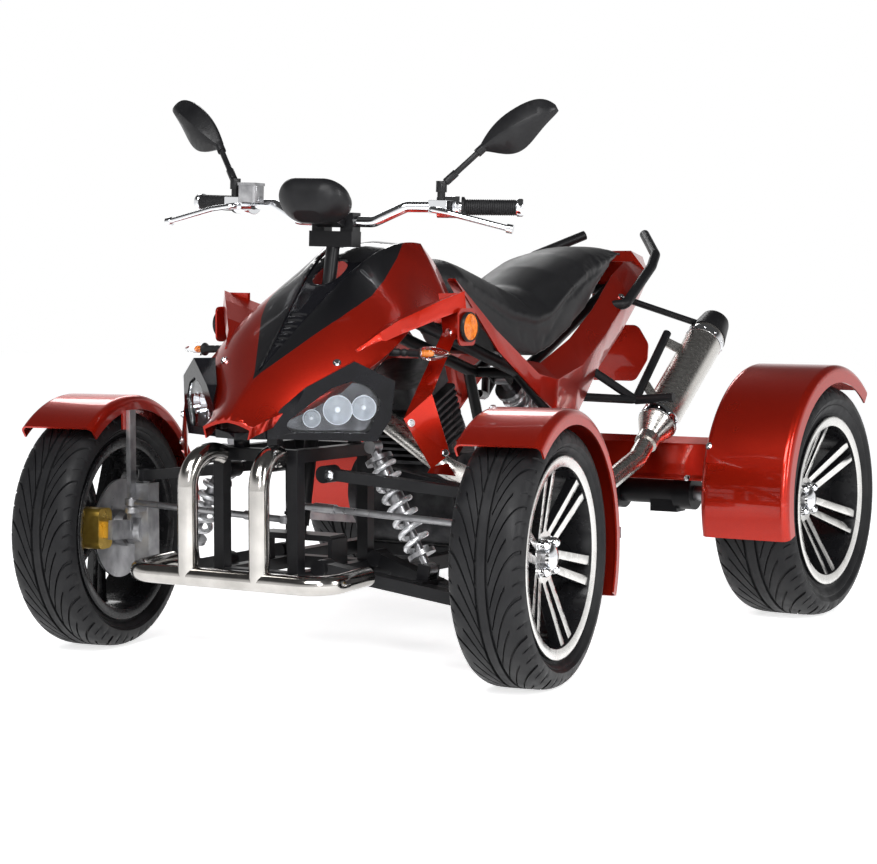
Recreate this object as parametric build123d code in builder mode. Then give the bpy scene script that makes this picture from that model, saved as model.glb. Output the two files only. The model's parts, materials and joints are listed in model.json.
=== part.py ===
"""Road quad bike: steel frame, open engine, steered front wheels and a solid rear axle.

Millimetres, +Z up, -Y to the front, +X to the rider's left.
"""

import os
from math import atan2, cos, degrees, radians, sin

from build123d import *

# Stance
WHEELBASE = 1180.0
FRONT_AXLE_Y = -WHEELBASE / 2
REAR_AXLE_Y = WHEELBASE / 2
FRONT_WHEEL_X = 515.0
REAR_WHEEL_X = 560.0
FIT = 0.3

# Tyres and rims
RIM_RADIUS = 194.0
BEAD_DROP = 13.0
BEAD_INSET = 16.0
FRONT_TYRE_HEIGHT = 56.0
FRONT_TYRE_RADIUS = RIM_RADIUS + FRONT_TYRE_HEIGHT
FRONT_TYRE_WIDTH = 148.0
FRONT_DISH = 45.0
FRONT_SPOKE_ANGLE = 15.0
REAR_TYRE_HEIGHT = 73.0
REAR_TYRE_RADIUS = RIM_RADIUS + REAR_TYRE_HEIGHT
REAR_TYRE_WIDTH = 195.0
REAR_DISH = 74.0
REAR_SPOKE_ANGLE = 8.0
SPOKE_PAIRS = 6

# Steering
REST_STEER = 8.5
KINGPIN_X = 405.0
ARM_LENGTH = 60.0
TIE_ROD_Z = 314.0
COLUMN_TOP_Y = -478.0
COLUMN_TOP_Z = 870.0
COLUMN_RADIUS = 14.0

# Frame
RAIL = 30.0
RAIL_X = 150.0
RAIL_Z = 190.0
POST = 25.0
POST_X = 89.0
POST_FRONT_Y = -742.0
POST_REAR_Y = -500.0
POST_TOP_Z = 446.0
SPINE_X = 62.0

# Bodywork
PANEL = 4.0
FENDER_GAP = 32.0


def bent_tube(points, diameter, bend):
    """A round tube along straight runs joined by bends."""
    with BuildPart() as tube:
        with BuildLine() as path:
            if len(points) > 2:
                FilletPolyline(*points, radius=bend)
            else:
                Line(*points)
        with BuildSketch(Plane(origin=path.line @ 0, z_dir=path.line % 0)):
            Circle(diameter / 2)
        sweep()
    return tube.part


def bar(start, end, width, depth, side=(1, 0, 0)):
    """A straight bar of rectangular section, its width along side."""
    start = Vector(*start)
    run = Vector(*end) - start
    with BuildPart() as piece:
        with BuildSketch(Plane(origin=start, x_dir=side, z_dir=run)):
            Rectangle(width, depth)
        extrude(amount=run.length)
    return piece.part


def rod(start, end, radius):
    """A straight round rod."""
    start = Vector(*start)
    run = Vector(*end) - start
    with BuildPart() as piece:
        with BuildSketch(Plane(origin=start, z_dir=run)):
            Circle(radius)
        extrude(amount=run.length)
    return piece.part


def hull(points):
    """A flat-faced solid round a set of corner points."""
    return ConvexPolyhedron([Vector(*point) for point in points], mode=Mode.PRIVATE)


def share(start, end, amount):
    """The point at a share of the way from start to end."""
    first, last = Vector(*start), Vector(*end)
    return tuple(first + (last - first) * amount)


def both(part):
    """A left piece and its mirror image on the right."""
    return Compound(children=[part, part.mirror(Plane.YZ)])


def kingpin(side):
    return Axis((side * KINGPIN_X, FRONT_AXLE_Y, 0), (0, 0, 1))


def steered(part, side):
    """A left front-corner piece taken to its own side and turned to the rest steering angle."""
    placed = part if side > 0 else part.mirror(Plane.YZ)
    return placed.rotate(kingpin(side), REST_STEER)


COLUMN_AXIS = Axis(
    (0, COLUMN_TOP_Y, COLUMN_TOP_Z),
    (0, COLUMN_TOP_Y - FRONT_AXLE_Y, COLUMN_TOP_Z - TIE_ROD_Z),
)


def on_column(z):
    """The point of the steering column's axis at a given height."""
    share = (z - TIE_ROD_Z) / (COLUMN_TOP_Z - TIE_ROD_Z)
    return (0, FRONT_AXLE_Y + share * (COLUMN_TOP_Y - FRONT_AXLE_Y), z)


def turned_bar(part):
    return part.rotate(COLUMN_AXIS, REST_STEER)


def ring(profile, centre):
    """A profile of (x, radius) points spun about a cross-wise axis through centre."""
    x0, y0, z0 = centre
    with BuildPart() as piece:
        with BuildSketch(Plane(origin=(x0, y0, z0), x_dir=(1, 0, 0), z_dir=(0, -1, 0))):
            with BuildLine():
                Polyline(*profile, close=True)
            make_face()
        revolve(axis=Axis((x0, y0, z0), (1, 0, 0)))
    return piece.part


def tyre(centre, radius, width):
    """A low-profile tyre, square-shouldered, on its bead seat."""
    half = width / 2
    bead = RIM_RADIUS - BEAD_DROP
    seat = half - BEAD_INSET
    crown = [
        (seat, bead), (seat, RIM_RADIUS + 2), (half, radius - 34), (half - 3, radius - 17),
        (half - 14, radius - 6), (half - 40, radius - 1), (0, radius),
    ]
    return ring([(-x, r) for x, r in crown] + [(x, r) for x, r in reversed(crown[:-1])], centre)


def rim(centre, width, dish, first_angle):
    """A cast rim for the left side: barrel, two lips and six forked spokes."""
    half = width / 2
    seat = half - BEAD_INSET
    bead = RIM_RADIUS - BEAD_DROP - FIT
    face = half - dish
    x0, y0, z0 = centre
    barrel = [
        (-seat + FIT, bead), (seat - FIT, bead), (seat + FIT, bead),
        (seat + FIT, RIM_RADIUS), (seat + 6, RIM_RADIUS), (seat + 8, RIM_RADIUS - 4),
        (seat + 4, bead - 9), (-seat - 4, bead - 9), (-seat - 8, RIM_RADIUS - 4),
        (-seat - 6, RIM_RADIUS), (-seat - FIT, RIM_RADIUS), (-seat - FIT, bead),
    ]
    with BuildPart() as spokes:
        with BuildSketch(Plane(origin=(x0, y0, z0), x_dir=(0, 1, 0), z_dir=(1, 0, 0))):
            with PolarLocations(0, SPOKE_PAIRS, start_angle=90 + first_angle):
                for hand in (1, -1):
                    Polygon(
                        (30, hand * 5), (30, hand * 21), (bead - 4, hand * 30), (bead - 4, hand * 11),
                        align=None,
                    )
        extrude(amount=half, both=True)
        dish_line = [(face - 20, 24), (face, 24), (face, 52), (seat, bead - 4), (seat - 22, bead - 4)]
        add(ring(dish_line, centre), mode=Mode.INTERSECT)
    with BuildPart() as wheel:
        add(ring(barrel, centre))
        add(spokes.part)
        add(ring([(face - 22, 22), (face, 22), (face, 50), (face - 22, 50)], centre))
    return wheel.part


def wheel_hub(centre, face, back, disc_x, disc_radius):
    """A hub behind the rim, its brake disc, centre cap and four wheel nuts."""
    x0, y0, z0 = centre
    with BuildPart() as hub:
        add(rod((x0 + back, y0, z0), (x0 + face - 22, y0, z0), 38))
        add(rod((x0 + back, y0, z0), (x0 + face + 16, y0, z0), 22 - FIT))
        add(rod((x0 + disc_x - 2.5, y0, z0), (x0 + disc_x + 2.5, y0, z0), disc_radius))
        add(rod((x0 + back, y0, z0), (x0 + back + 45, y0, z0), 12.5), mode=Mode.SUBTRACT)
        with BuildSketch(Plane(origin=(x0 + face, y0, z0), x_dir=(0, 1, 0), z_dir=(1, 0, 0))):
            with PolarLocations(36, 4, start_angle=45):
                RegularPolygon(9, 6)
        extrude(amount=13)
    return hub.part


# Front wheels: tyre, rim and hub stand on the left and are carried to each side
FRONT_CENTRE = (FRONT_WHEEL_X, FRONT_AXLE_Y, FRONT_TYRE_RADIUS)
FRONT_FACE = FRONT_TYRE_WIDTH / 2 - FRONT_DISH
DISC_X = -46.0
DISC_RADIUS = 104.0
HUB_BACK = -70.0
tyre_blank = tyre(FRONT_CENTRE, FRONT_TYRE_RADIUS, FRONT_TYRE_WIDTH)
rim_blank = rim(FRONT_CENTRE, FRONT_TYRE_WIDTH, FRONT_DISH, FRONT_SPOKE_ANGLE)
hub_blank = wheel_hub(FRONT_CENTRE, FRONT_FACE, HUB_BACK, DISC_X, DISC_RADIUS)

with BuildPart() as tyre_front_left:
    add(steered(tyre_blank, 1))
with BuildPart() as tyre_front_right:
    add(steered(tyre_blank, -1))
with BuildPart() as rim_front_left:
    add(steered(rim_blank, 1))
with BuildPart() as rim_front_right:
    add(steered(rim_blank, -1))
with BuildPart() as hub_front_left:
    add(steered(hub_blank, 1))
with BuildPart() as hub_front_right:
    add(steered(hub_blank, -1))

# Steering knuckle: upright on the kingpin, spindle, steering arm and fender bracket
KNUCKLE_LOW_Z = 176.0
KNUCKLE_HIGH_Z = 348.0
SPINDLE_END = FRONT_WHEEL_X + HUB_BACK + 40
FENDER_RADIUS = FRONT_TYRE_RADIUS + FENDER_GAP
FENDER_HALF = FRONT_TYRE_WIDTH / 2 + 13
FENDER_IN_X = FRONT_WHEEL_X - FENDER_HALF
CALIPER_X = FRONT_WHEEL_X + DISC_X
AXLE_Z = FRONT_TYRE_RADIUS
KP = (KINGPIN_X, FRONT_AXLE_Y)
with BuildPart() as knuckle_blank:
    add(bar((*KP, KNUCKLE_LOW_Z), (*KP, KNUCKLE_HIGH_Z), 34, 44))
    add(rod((KINGPIN_X, FRONT_AXLE_Y, AXLE_Z), (KINGPIN_X + 33, FRONT_AXLE_Y, AXLE_Z), 34))
    add(rod((KINGPIN_X, FRONT_AXLE_Y, AXLE_Z), (SPINDLE_END, FRONT_AXLE_Y, AXLE_Z), 12))
    add(rod((*KP, KNUCKLE_HIGH_Z), (*KP, KNUCKLE_HIGH_Z + 28), 7))
    add(rod((*KP, KNUCKLE_LOW_Z), (*KP, KNUCKLE_LOW_Z - 34), 7))
    arm_z = TIE_ROD_Z - 18
    add(bar((KINGPIN_X, FRONT_AXLE_Y, arm_z), (KINGPIN_X, FRONT_AXLE_Y - ARM_LENGTH, arm_z), 24, 12))
    ball = (KINGPIN_X, FRONT_AXLE_Y - ARM_LENGTH)
    add(rod((*ball, arm_z - 6), (*ball, arm_z + 6), 15))
    add(rod((*ball, arm_z), (*ball, TIE_ROD_Z + 8), 6))
    caliper_foot = (KINGPIN_X + 20, FRONT_AXLE_Y, AXLE_Z)
    add(bar(caliper_foot, (KINGPIN_X + 20, FRONT_AXLE_Y - 112, AXLE_Z + 8), 10, 40))
    bracket_x = FENDER_IN_X - 5 - FIT
    bracket_y = FRONT_AXLE_Y - 31
    add(bar((bracket_x, bracket_y, AXLE_Z), (bracket_x, bracket_y, FENDER_RADIUS + AXLE_Z - 30), 10, 22))
with BuildPart() as knuckle_left:
    add(steered(knuckle_blank.part, 1))
with BuildPart() as knuckle_right:
    add(steered(knuckle_blank.part, -1))

# Brake calipers straddle the discs at the front of each hub
with BuildPart() as caliper_blank:
    with Locations((CALIPER_X - 2, FRONT_AXLE_Y - 104, AXLE_Z + 10)):
        Box(58, 52, 84)
    fillet(caliper_blank.edges().filter_by(Axis.X), 14)
    with Locations((CALIPER_X, FRONT_AXLE_Y, AXLE_Z)):
        Cylinder(DISC_RADIUS + 5, 15, rotation=(0, 90, 0), mode=Mode.SUBTRACT)
    with Locations((CALIPER_X - 36, FRONT_AXLE_Y - 80, AXLE_Z + 8)):
        Box(18, 200, 120, mode=Mode.SUBTRACT)
    lug_x = KINGPIN_X + 25 + FIT
    with Locations((lug_x, FRONT_AXLE_Y - 98, AXLE_Z + 8)):
        Box(CALIPER_X - 26 - lug_x, 28, 34, align=(Align.MIN, Align.CENTER, Align.CENTER))
with BuildPart() as caliper_left:
    add(steered(caliper_blank.part, 1))
with BuildPart() as caliper_right:
    add(steered(caliper_blank.part, -1))


def arc_fender(centre, radius, half, start, end, lip):
    """A thin wheel cover: arched section with turned-down lips, spun part way round the axle."""
    inner = radius - PANEL
    x0, y0, z0 = centre
    soft = 16.0
    with BuildPart() as cover:
        with BuildSketch(Plane(origin=centre, x_dir=(1, 0, 0), z_dir=(0, -1, 0))):
            with BuildLine():
                FilletPolyline(
                    (-half, radius - lip), (-half, radius), (half, radius), (half, radius - lip), radius=soft
                )
                Line((half, radius - lip), (half - PANEL, radius - lip))
                FilletPolyline(
                    (half - PANEL, radius - lip), (half - PANEL, inner),
                    (PANEL - half, inner), (PANEL - half, radius - lip), radius=soft - PANEL,
                )
                Line((PANEL - half, radius - lip), (-half, radius - lip))
            make_face()
        revolve(axis=Axis(centre, (1, 0, 0)), revolution_arc=end - start)
    return cover.part.rotate(Axis(centre, (1, 0, 0)), start)


# Front fenders turn with the knuckles
FENDER_FRONT_ANGLE = 38.0
FENDER_REAR_ANGLE = -112.0
with BuildPart() as fender_blank:
    add(
        arc_fender(
            FRONT_CENTRE, FENDER_RADIUS, FENDER_HALF, FENDER_REAR_ANGLE, FENDER_FRONT_ANGLE, 30
        )
    )
    tab_x = FENDER_IN_X + PANEL / 2
    tab_z = FENDER_RADIUS + AXLE_Z - 26
    add(bar((tab_x, bracket_y, tab_z - 44), (tab_x, bracket_y, tab_z), PANEL, 46))
with BuildPart() as fender_front_left:
    add(steered(fender_blank.part, 1))
with BuildPart() as fender_front_right:
    add(steered(fender_blank.part, -1))

# Tie rods run from the drop arm under the column to the steering arms
EYE_GAP = 11.0
with BuildPart() as rod_blank:
    inner_eye = (8, FRONT_AXLE_Y - ARM_LENGTH, TIE_ROD_Z)
    outer_eye = (KINGPIN_X, FRONT_AXLE_Y - ARM_LENGTH, TIE_ROD_Z - 2)
    add(rod((26, *inner_eye[1:]), (KINGPIN_X - 8, *outer_eye[1:]), 7))
    add(rod((60, *inner_eye[1:]), (110, *inner_eye[1:]), 9.5))
    add(rod((inner_eye[0], inner_eye[1], TIE_ROD_Z - 7), (inner_eye[0], inner_eye[1], TIE_ROD_Z + 7), 14))
    add(rod((14, *inner_eye[1:]), (60, *inner_eye[1:]), 7))
    add(rod((*outer_eye[:2], TIE_ROD_Z - 8), (*outer_eye[:2], TIE_ROD_Z + 6), 14))
    add(rod((*outer_eye[:2], TIE_ROD_Z - 20), (*outer_eye[:2], TIE_ROD_Z + 20), 7.2), mode=Mode.SUBTRACT)


def laid_rod(side, lift):
    """A tie rod lifted at its inner end, shifted with its steering arm at the rest angle."""
    part = rod_blank.part if side > 0 else rod_blank.part.mirror(Plane.YZ)
    span = KINGPIN_X
    tilt = degrees(atan2(lift, span))
    pivot = Axis((side * KINGPIN_X, FRONT_AXLE_Y, TIE_ROD_Z), (0, 1, 0))
    shift = (ARM_LENGTH * sin(radians(REST_STEER)), ARM_LENGTH * (1 - cos(radians(REST_STEER))), 0)
    return part.rotate(pivot, side * tilt).moved(Location(shift))


with BuildPart() as tie_rod_left:
    add(laid_rod(1, EYE_GAP + 3))
with BuildPart() as tie_rod_right:
    add(laid_rod(-1, -EYE_GAP - 6))

# Steering column with its drop arm and the handlebar clamp
clamp = on_column(COLUMN_TOP_Z - 10)
BAR_D = 22.0
bar_mid = (clamp[1] + 8, clamp[2] + 32)
with BuildPart() as column_blank:
    add(rod(on_column(282), on_column(COLUMN_TOP_Z - 26), COLUMN_RADIUS))
    add(rod(on_column(256), on_column(300), 10))
    drop_end = (0, FRONT_AXLE_Y - ARM_LENGTH - 6, TIE_ROD_Z - 2)
    add(bar((0, FRONT_AXLE_Y, TIE_ROD_Z - 2), drop_end, 20, 6))
    with Locations((0, clamp[1] + 4, clamp[2] - 4)):
        Box(96, 44, 32)
    for x in (-32, 32):
        with Locations((x, bar_mid[0], bar_mid[1] - 4)):
            Box(28, 36, 44)
    add(rod((-80, *bar_mid), (80, *bar_mid), BAR_D / 2 + FIT), mode=Mode.SUBTRACT)
with BuildPart() as steering_column:
    add(turned_bar(column_blank.part))

# Handlebar: one chrome tube, rising and swept back to the grips
GRIP_IN = (255.0, -421.0, 926.0)
GRIP_END = (367.0, -381.0, 928.0)
GRIP_RADIUS = 16.0


def along_grip(amount):
    """A point on the grip's line, at a share of the grip's length from its inner end."""
    inner, outer = Vector(*GRIP_IN), Vector(*GRIP_END)
    return tuple(inner + (outer - inner) * amount)


bar_left = [(84, *bar_mid), along_grip(-0.94), GRIP_END]
with BuildPart() as bar_blank:
    add(bent_tube([(-x, y, z) for x, y, z in reversed(bar_left)] + bar_left, BAR_D, 26))
with BuildPart() as handlebar:
    add(turned_bar(bar_blank.part))

with BuildPart() as grip_blank:
    add(rod(GRIP_IN, along_grip(1.04), GRIP_RADIUS))
    add(rod(GRIP_IN, along_grip(0.06), GRIP_RADIUS + 5))
    add(rod(along_grip(0.92), along_grip(1.04), GRIP_RADIUS + 2))
    add(rod(along_grip(-0.1), GRIP_END, BAR_D / 2 + FIT), mode=Mode.SUBTRACT)
with BuildPart() as grips:
    add(turned_bar(grip_blank.part))
    add(turned_bar(grip_blank.part.mirror(Plane.YZ)))

# Switch housings inboard of each grip, with the lever perch reaching forward of the bar
PERCH_X = 231.0
PERCH_FRONT_Y = -489.0
PERCH_TOP_Z = 938.0
with BuildPart() as control_blank:
    add(rod(along_grip(-0.42), along_grip(-0.03), 22))
    with Locations((PERCH_X, PERCH_FRONT_Y + 31, PERCH_TOP_Z - 13)):
        Box(40, 62, 26)
    add(rod(along_grip(-0.9), GRIP_END, BAR_D / 2 + FIT), mode=Mode.SUBTRACT)
with BuildPart() as controls:
    add(turned_bar(control_blank.part))
    add(turned_bar(control_blank.part.mirror(Plane.YZ)))

# Brake and clutch levers in front of the grips
LEVER_TIP = (385.0, -482.0, 884.0)
with BuildPart() as lever_blank:
    foot_x = PERCH_X - 9
    add(bent_tube([
        (foot_x, PERCH_FRONT_Y - FIT, 920), (foot_x, PERCH_FRONT_Y - 16, 919),
        (foot_x + 44, PERCH_FRONT_Y - 19, 912), LEVER_TIP,
    ], 12, 10))
    tip = Vector(*LEVER_TIP)
    add(rod(tuple(tip - Vector(6, 1, -1)), tuple(tip + Vector(6, 1, -1)), 9))
with BuildPart() as levers:
    add(turned_bar(lever_blank.part))
    add(turned_bar(lever_blank.part.mirror(Plane.YZ)))

# Brake fluid reservoir on the right of the bar, beside its perch
RESERVOIR = (44.0, 40.0, 34.0)
with BuildPart() as reservoir_blank:
    tub_x = -(PERCH_X - 20 - FIT - RESERVOIR[0] / 2)
    with Locations((tub_x, -488, 944)):
        Box(*RESERVOIR)
    fillet(reservoir_blank.edges().filter_by(Axis.Z), 8)
    with Locations((tub_x, -488, 944 + RESERVOIR[2] / 2 + 3)):
        Box(RESERVOIR[0] - 4, RESERVOIR[1] + 4, 6)
with BuildPart() as reservoir:
    add(turned_bar(reservoir_blank.part))

# Instrument pod: a deep bowl in front of the clamp, its dial side turned up to the rider
POD_CENTRE = Vector(0, -561, 941)
POD_FACE = Vector(0, 0.68, 0.73).normalized()
POD = (
    # depth behind the dial, width, height, corner
    (0, 146, 98, 44),
    (14, 152, 102, 48),
    (40, 122, 78, 38),
    (58, 60, 34, 16),
)
with BuildPart() as pod_blank:
    for depth, width, height, corner in POD:
        with BuildSketch(Plane(origin=POD_CENTRE - POD_FACE * depth, x_dir=(1, 0, 0), z_dir=POD_FACE)):
            RectangleRounded(width, height, corner)
    loft()
    neck_y = bar_mid[0] - 21
    add(bar((0, neck_y, 888), (0, neck_y - 62, 906), 60, 18))
with BuildPart() as instrument_pod:
    add(turned_bar(pod_blank.part))

# Mirrors: leaf-shaped shells on jointed stalks that stand on the perches
STALK_FOOT = (233.0, -475.0)
STALK_TOP = Vector(301, -424, 1046)
MIRROR_TIP = Vector(437, -380, 1125)
MIRROR_AXIS = (MIRROR_TIP - STALK_TOP).normalized()
MIRROR_UP = MIRROR_AXIS.cross(Vector(-0.305, 0.948, -0.003)).normalized()
MIRROR_REACH = (MIRROR_TIP - STALK_TOP).length
MIRROR = (
    # share of the reach, width above the crease, width below it, depth of the crease
    (-0.03, 7, 7, 8),
    (0.12, 22, 24, 17),
    (0.38, 37, 41, 25),
    (0.70, 40, 24, 22),
    (0.92, 28, 11, 13),
    (1.01, 8, 5, 4),
)
with BuildPart() as mirror_blank:
    for reach, above, below, depth in MIRROR:
        middle = STALK_TOP + MIRROR_AXIS * MIRROR_REACH * reach
        with BuildSketch(Plane(origin=middle, x_dir=MIRROR_UP, z_dir=MIRROR_AXIS)):
            with BuildLine():
                Polyline(
                    (above, -5), (above, 2), (above * 0.25, depth), (-below * 0.2, depth * 0.9), (-below, 2),
                    (-below, -5), close=True,
                )
            make_face()
    loft()
    add(rod((*STALK_FOOT, PERCH_TOP_Z + FIT), (*STALK_FOOT, 972), 8))
    add(rod((*STALK_FOOT, 954), (*STALK_FOOT, 976), 11))
    add(rod((*STALK_FOOT, 966), tuple(STALK_TOP), 6))
    add(rod(share((*STALK_FOOT, 966), STALK_TOP, 0.1), share((*STALK_FOOT, 966), STALK_TOP, 0.34), 8))
    add(rod(share((*STALK_FOOT, 966), STALK_TOP, 0.84), share((*STALK_FOOT, 966), STALK_TOP, 1.06), 9))
with BuildPart() as mirrors:
    add(turned_bar(mirror_blank.part))
    add(turned_bar(mirror_blank.part.mirror(Plane.YZ)))

# Rear wheels ride on one live axle
REAR_CENTRE = (REAR_WHEEL_X, REAR_AXLE_Y, REAR_TYRE_RADIUS)
REAR_FACE = REAR_TYRE_WIDTH / 2 - REAR_DISH
rear_tyre_blank = tyre(REAR_CENTRE, REAR_TYRE_RADIUS, REAR_TYRE_WIDTH)
rear_rim_blank = rim(REAR_CENTRE, REAR_TYRE_WIDTH, REAR_DISH, REAR_SPOKE_ANGLE)
with BuildPart() as tyres_rear:
    add(rear_tyre_blank)
    add(rear_tyre_blank.mirror(Plane.YZ))
with BuildPart() as rims_rear:
    add(rear_rim_blank)
    add(rear_rim_blank.mirror(Plane.YZ))

AXLE_RADIUS = 18.0
REAR_DISC_X = 352.0
REAR_HUB_IN = REAR_WHEEL_X + REAR_FACE - 22
with BuildPart() as rear_hub_blank:
    add(rod((REAR_HUB_IN - 90, *REAR_CENTRE[1:]), (REAR_HUB_IN, *REAR_CENTRE[1:]), 38))
    add(rod((REAR_HUB_IN - 10, *REAR_CENTRE[1:]), (REAR_HUB_IN + 38, *REAR_CENTRE[1:]), 22 - FIT))
    with BuildSketch(Plane(origin=(REAR_HUB_IN + 22, *REAR_CENTRE[1:]), x_dir=(0, 1, 0), z_dir=(1, 0, 0))):
        with PolarLocations(36, 4, start_angle=45):
            RegularPolygon(9, 6)
    extrude(amount=13)
with BuildPart() as rear_axle:
    add(rod((-REAR_HUB_IN + 60, *REAR_CENTRE[1:]), (REAR_HUB_IN - 60, *REAR_CENTRE[1:]), AXLE_RADIUS))
    add(rear_hub_blank.part)
    add(rear_hub_blank.part.mirror(Plane.YZ))
    add(rod((-REAR_DISC_X, *REAR_CENTRE[1:]), (5 - REAR_DISC_X, *REAR_CENTRE[1:]), 95))

# Frame: lower rails, front bulkhead, spine and seat rails
RAIL_TOP = RAIL_Z + RAIL / 2
with BuildPart() as rails:
    rail_left = bar((RAIL_X, POST_REAR_Y + 20, RAIL_Z), (RAIL_X, 400, RAIL_Z), RAIL, RAIL)
    add(both(rail_left))
    for y in (POST_REAR_Y + 40, -180, 160, 385):
        add(bar((-RAIL_X, y, RAIL_Z), (RAIL_X, y, RAIL_Z), RAIL - 4, RAIL - 4, side=(0, 1, 0)))

with BuildPart() as bulkhead:
    for side in (1, -1):
        x = side * POST_X
        for y in (POST_FRONT_Y, POST_REAR_Y):
            add(bar((x, y, RAIL_Z - 8), (x, y, POST_TOP_Z), POST, POST))
        for z in (RAIL_Z + 6, POST_TOP_Z - POST / 2):
            add(bar((x, POST_FRONT_Y, z), (x, POST_REAR_Y, z), POST, POST))
    for y in (POST_FRONT_Y, POST_REAR_Y):
        for z in (RAIL_Z + 6, POST_TOP_Z - POST / 2):
            add(bar((-POST_X, y, z), (POST_X, y, z), POST, POST, side=(0, 1, 0)))
    foot = on_column(262)
    add(bar((-POST_X, foot[1], 262), (POST_X, foot[1], 262), 56, 12, side=(0, 1, 0)))
    for side in (1, -1):
        add(bar((side * POST_X, foot[1], RAIL_Z), (side * POST_X, foot[1], 262), 10, 56))
    add(rod(on_column(230), on_column(290), 10 + FIT), mode=Mode.SUBTRACT)

# Rear damper's place: its top eye between lugs on the spine, its foot between lugs on the swingarm
REAR_DAMPER_TOP = (0.0, 205.0, 545.0)
REAR_DAMPER_FOOT = (0.0, 470.0, 352.0)
REAR_EYE_HALF = 18.0
LUG = 6.0
LUG_X = REAR_EYE_HALF + FIT + LUG / 2

# Spine: twin tubes over the engine from the bulkhead to the tail, with the steering head and braces
TANK_TOP = 745.0
with BuildPart() as spine:
    run = [
        (SPINE_X, POST_REAR_Y, POST_TOP_Z), (SPINE_X, POST_REAR_Y, POST_TOP_Z + 80),
        (SPINE_X, -340, TANK_TOP - 40), (SPINE_X, -140, 650), (SPINE_X, 180, 560), (SPINE_X, 640, 770),
    ]
    add(both(bent_tube(run, 28, 60)))
    add(rod((-SPINE_X, -300, 695), (SPINE_X, -300, 695), 12))
    add(rod((-SPINE_X, 180, 562), (SPINE_X, 180, 562), 12))
    add(rod((-SPINE_X, 600, 752), (SPINE_X, 600, 752), 12))
    for x in (-LUG_X, LUG_X):
        add(bar((x, 180, 562), (x, *REAR_DAMPER_TOP[1:]), LUG, 26))
    brace = bent_tube([(SPINE_X, 150, 568), (RAIL_X, 385, 330), (RAIL_X, 385, RAIL_TOP)], 26, 50)
    add(both(brace))
    head = on_column(690)
    add(bar((-SPINE_X, -350, 690), (SPINE_X, -350, 690), 20, 16, side=(0, 1, 0)))
    add(bar((0, -352, 690), (0, head[1], 690), 40, 16))
    add(rod(on_column(676), on_column(704), COLUMN_RADIUS + 10))
    add(rod(on_column(640), on_column(740), COLUMN_RADIUS + FIT), mode=Mode.SUBTRACT)

# Front bumper: two chrome hoops standing on a bowed base tube that tabs hold to the bulkhead
BUMPER_Y = -856.0
BASE_Z = 202.0
HOOP_X = 85.0
HOOP = 40.0
BASE = 38.0
with BuildPart() as bumper:
    hoop_end = POST_FRONT_Y - POST / 2 - HOOP / 2 + 6
    hoop = [(HOOP_X - 16, hoop_end, 432), (HOOP_X, BUMPER_Y, 466), (HOOP_X, BUMPER_Y, BASE_Z)]
    add(bent_tube(hoop, HOOP, 62))
    add(bent_tube([(-x, y, z) for x, y, z in hoop], HOOP, 62))
    base_left = [(0, BUMPER_Y, BASE_Z), (236, BUMPER_Y, BASE_Z), (236, -716, BASE_Z + 6)]
    add(both(bent_tube(base_left, BASE, 58)))
    for x in (-POST_X, POST_X):
        tab_end = (x, POST_FRONT_Y - POST / 2 - FIT, BASE_Z)
        add(bar((x, BUMPER_Y, BASE_Z), tab_end, POST, 10))

# Engine: crankcase, round side covers, finned cylinder leaning forward and its head
LEAN = 24.0
with BuildPart() as engine:
    with Locations((0, -30, RAIL_TOP + 100)):
        Box(250, 380, 200)
    fillet(engine.edges().filter_by(Axis.X), 50)
    for x, y, z, r, depth in ((0, -110, 310, 88, 320), (0, 70, 300, 70, 300)):
        with Locations((x, y, z)):
            Cylinder(r, depth, rotation=(0, 90, 0))
    barrel_run = (0, -sin(radians(LEAN)), cos(radians(LEAN)))
    barrel_plane = Plane(origin=(0, -150, 380), x_dir=(1, 0, 0), z_dir=barrel_run)
    with BuildSketch(barrel_plane):
        RectangleRounded(118, 118, 20)
    extrude(amount=190)
    for fin in range(8):
        with BuildSketch(barrel_plane.offset(40 + fin * 15)):
            RectangleRounded(168, 164, 16)
        extrude(amount=6)
    with BuildSketch(barrel_plane.offset(164)):
        RectangleRounded(150, 150, 16)
    extrude(amount=48)

# Rear swingarm: two box arms to the axle carrier, a tube round the live axle with bearing housings
CARRIER_X = 306.0
AXLE_PLACE = REAR_CENTRE[1:]
with BuildPart() as swing_arm:
    add(rod((-CARRIER_X, *AXLE_PLACE), (CARRIER_X, *AXLE_PLACE), 29))
    for side in (1, -1):
        add(bar((side * 96, 212, 300), (side * 96, *AXLE_PLACE), 34, 56))
        add(rod((side * 118, *AXLE_PLACE), (side * 70, *AXLE_PLACE), 44))
        add(rod((side * (CARRIER_X - 46), *AXLE_PLACE), (side * CARRIER_X, *AXLE_PLACE), 40))
        foot_z = REAR_TYRE_RADIUS - 46
        add(bar((side * 232, REAR_AXLE_Y, REAR_TYRE_RADIUS), (side * 232, REAR_AXLE_Y, foot_z), 70, 48))
    add(rod((-112, 222, 300), (112, 222, 300), 26))
    add(rod((-96, 456, 314), (96, 456, 314), 14))
    for x in (-LUG_X, LUG_X):
        add(bar((x, 456, 314), (x, *REAR_DAMPER_FOOT[1:]), LUG, 26))
    add(rod((-400, *AXLE_PLACE), (400, *AXLE_PLACE), AXLE_RADIUS + FIT), mode=Mode.SUBTRACT)

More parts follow.
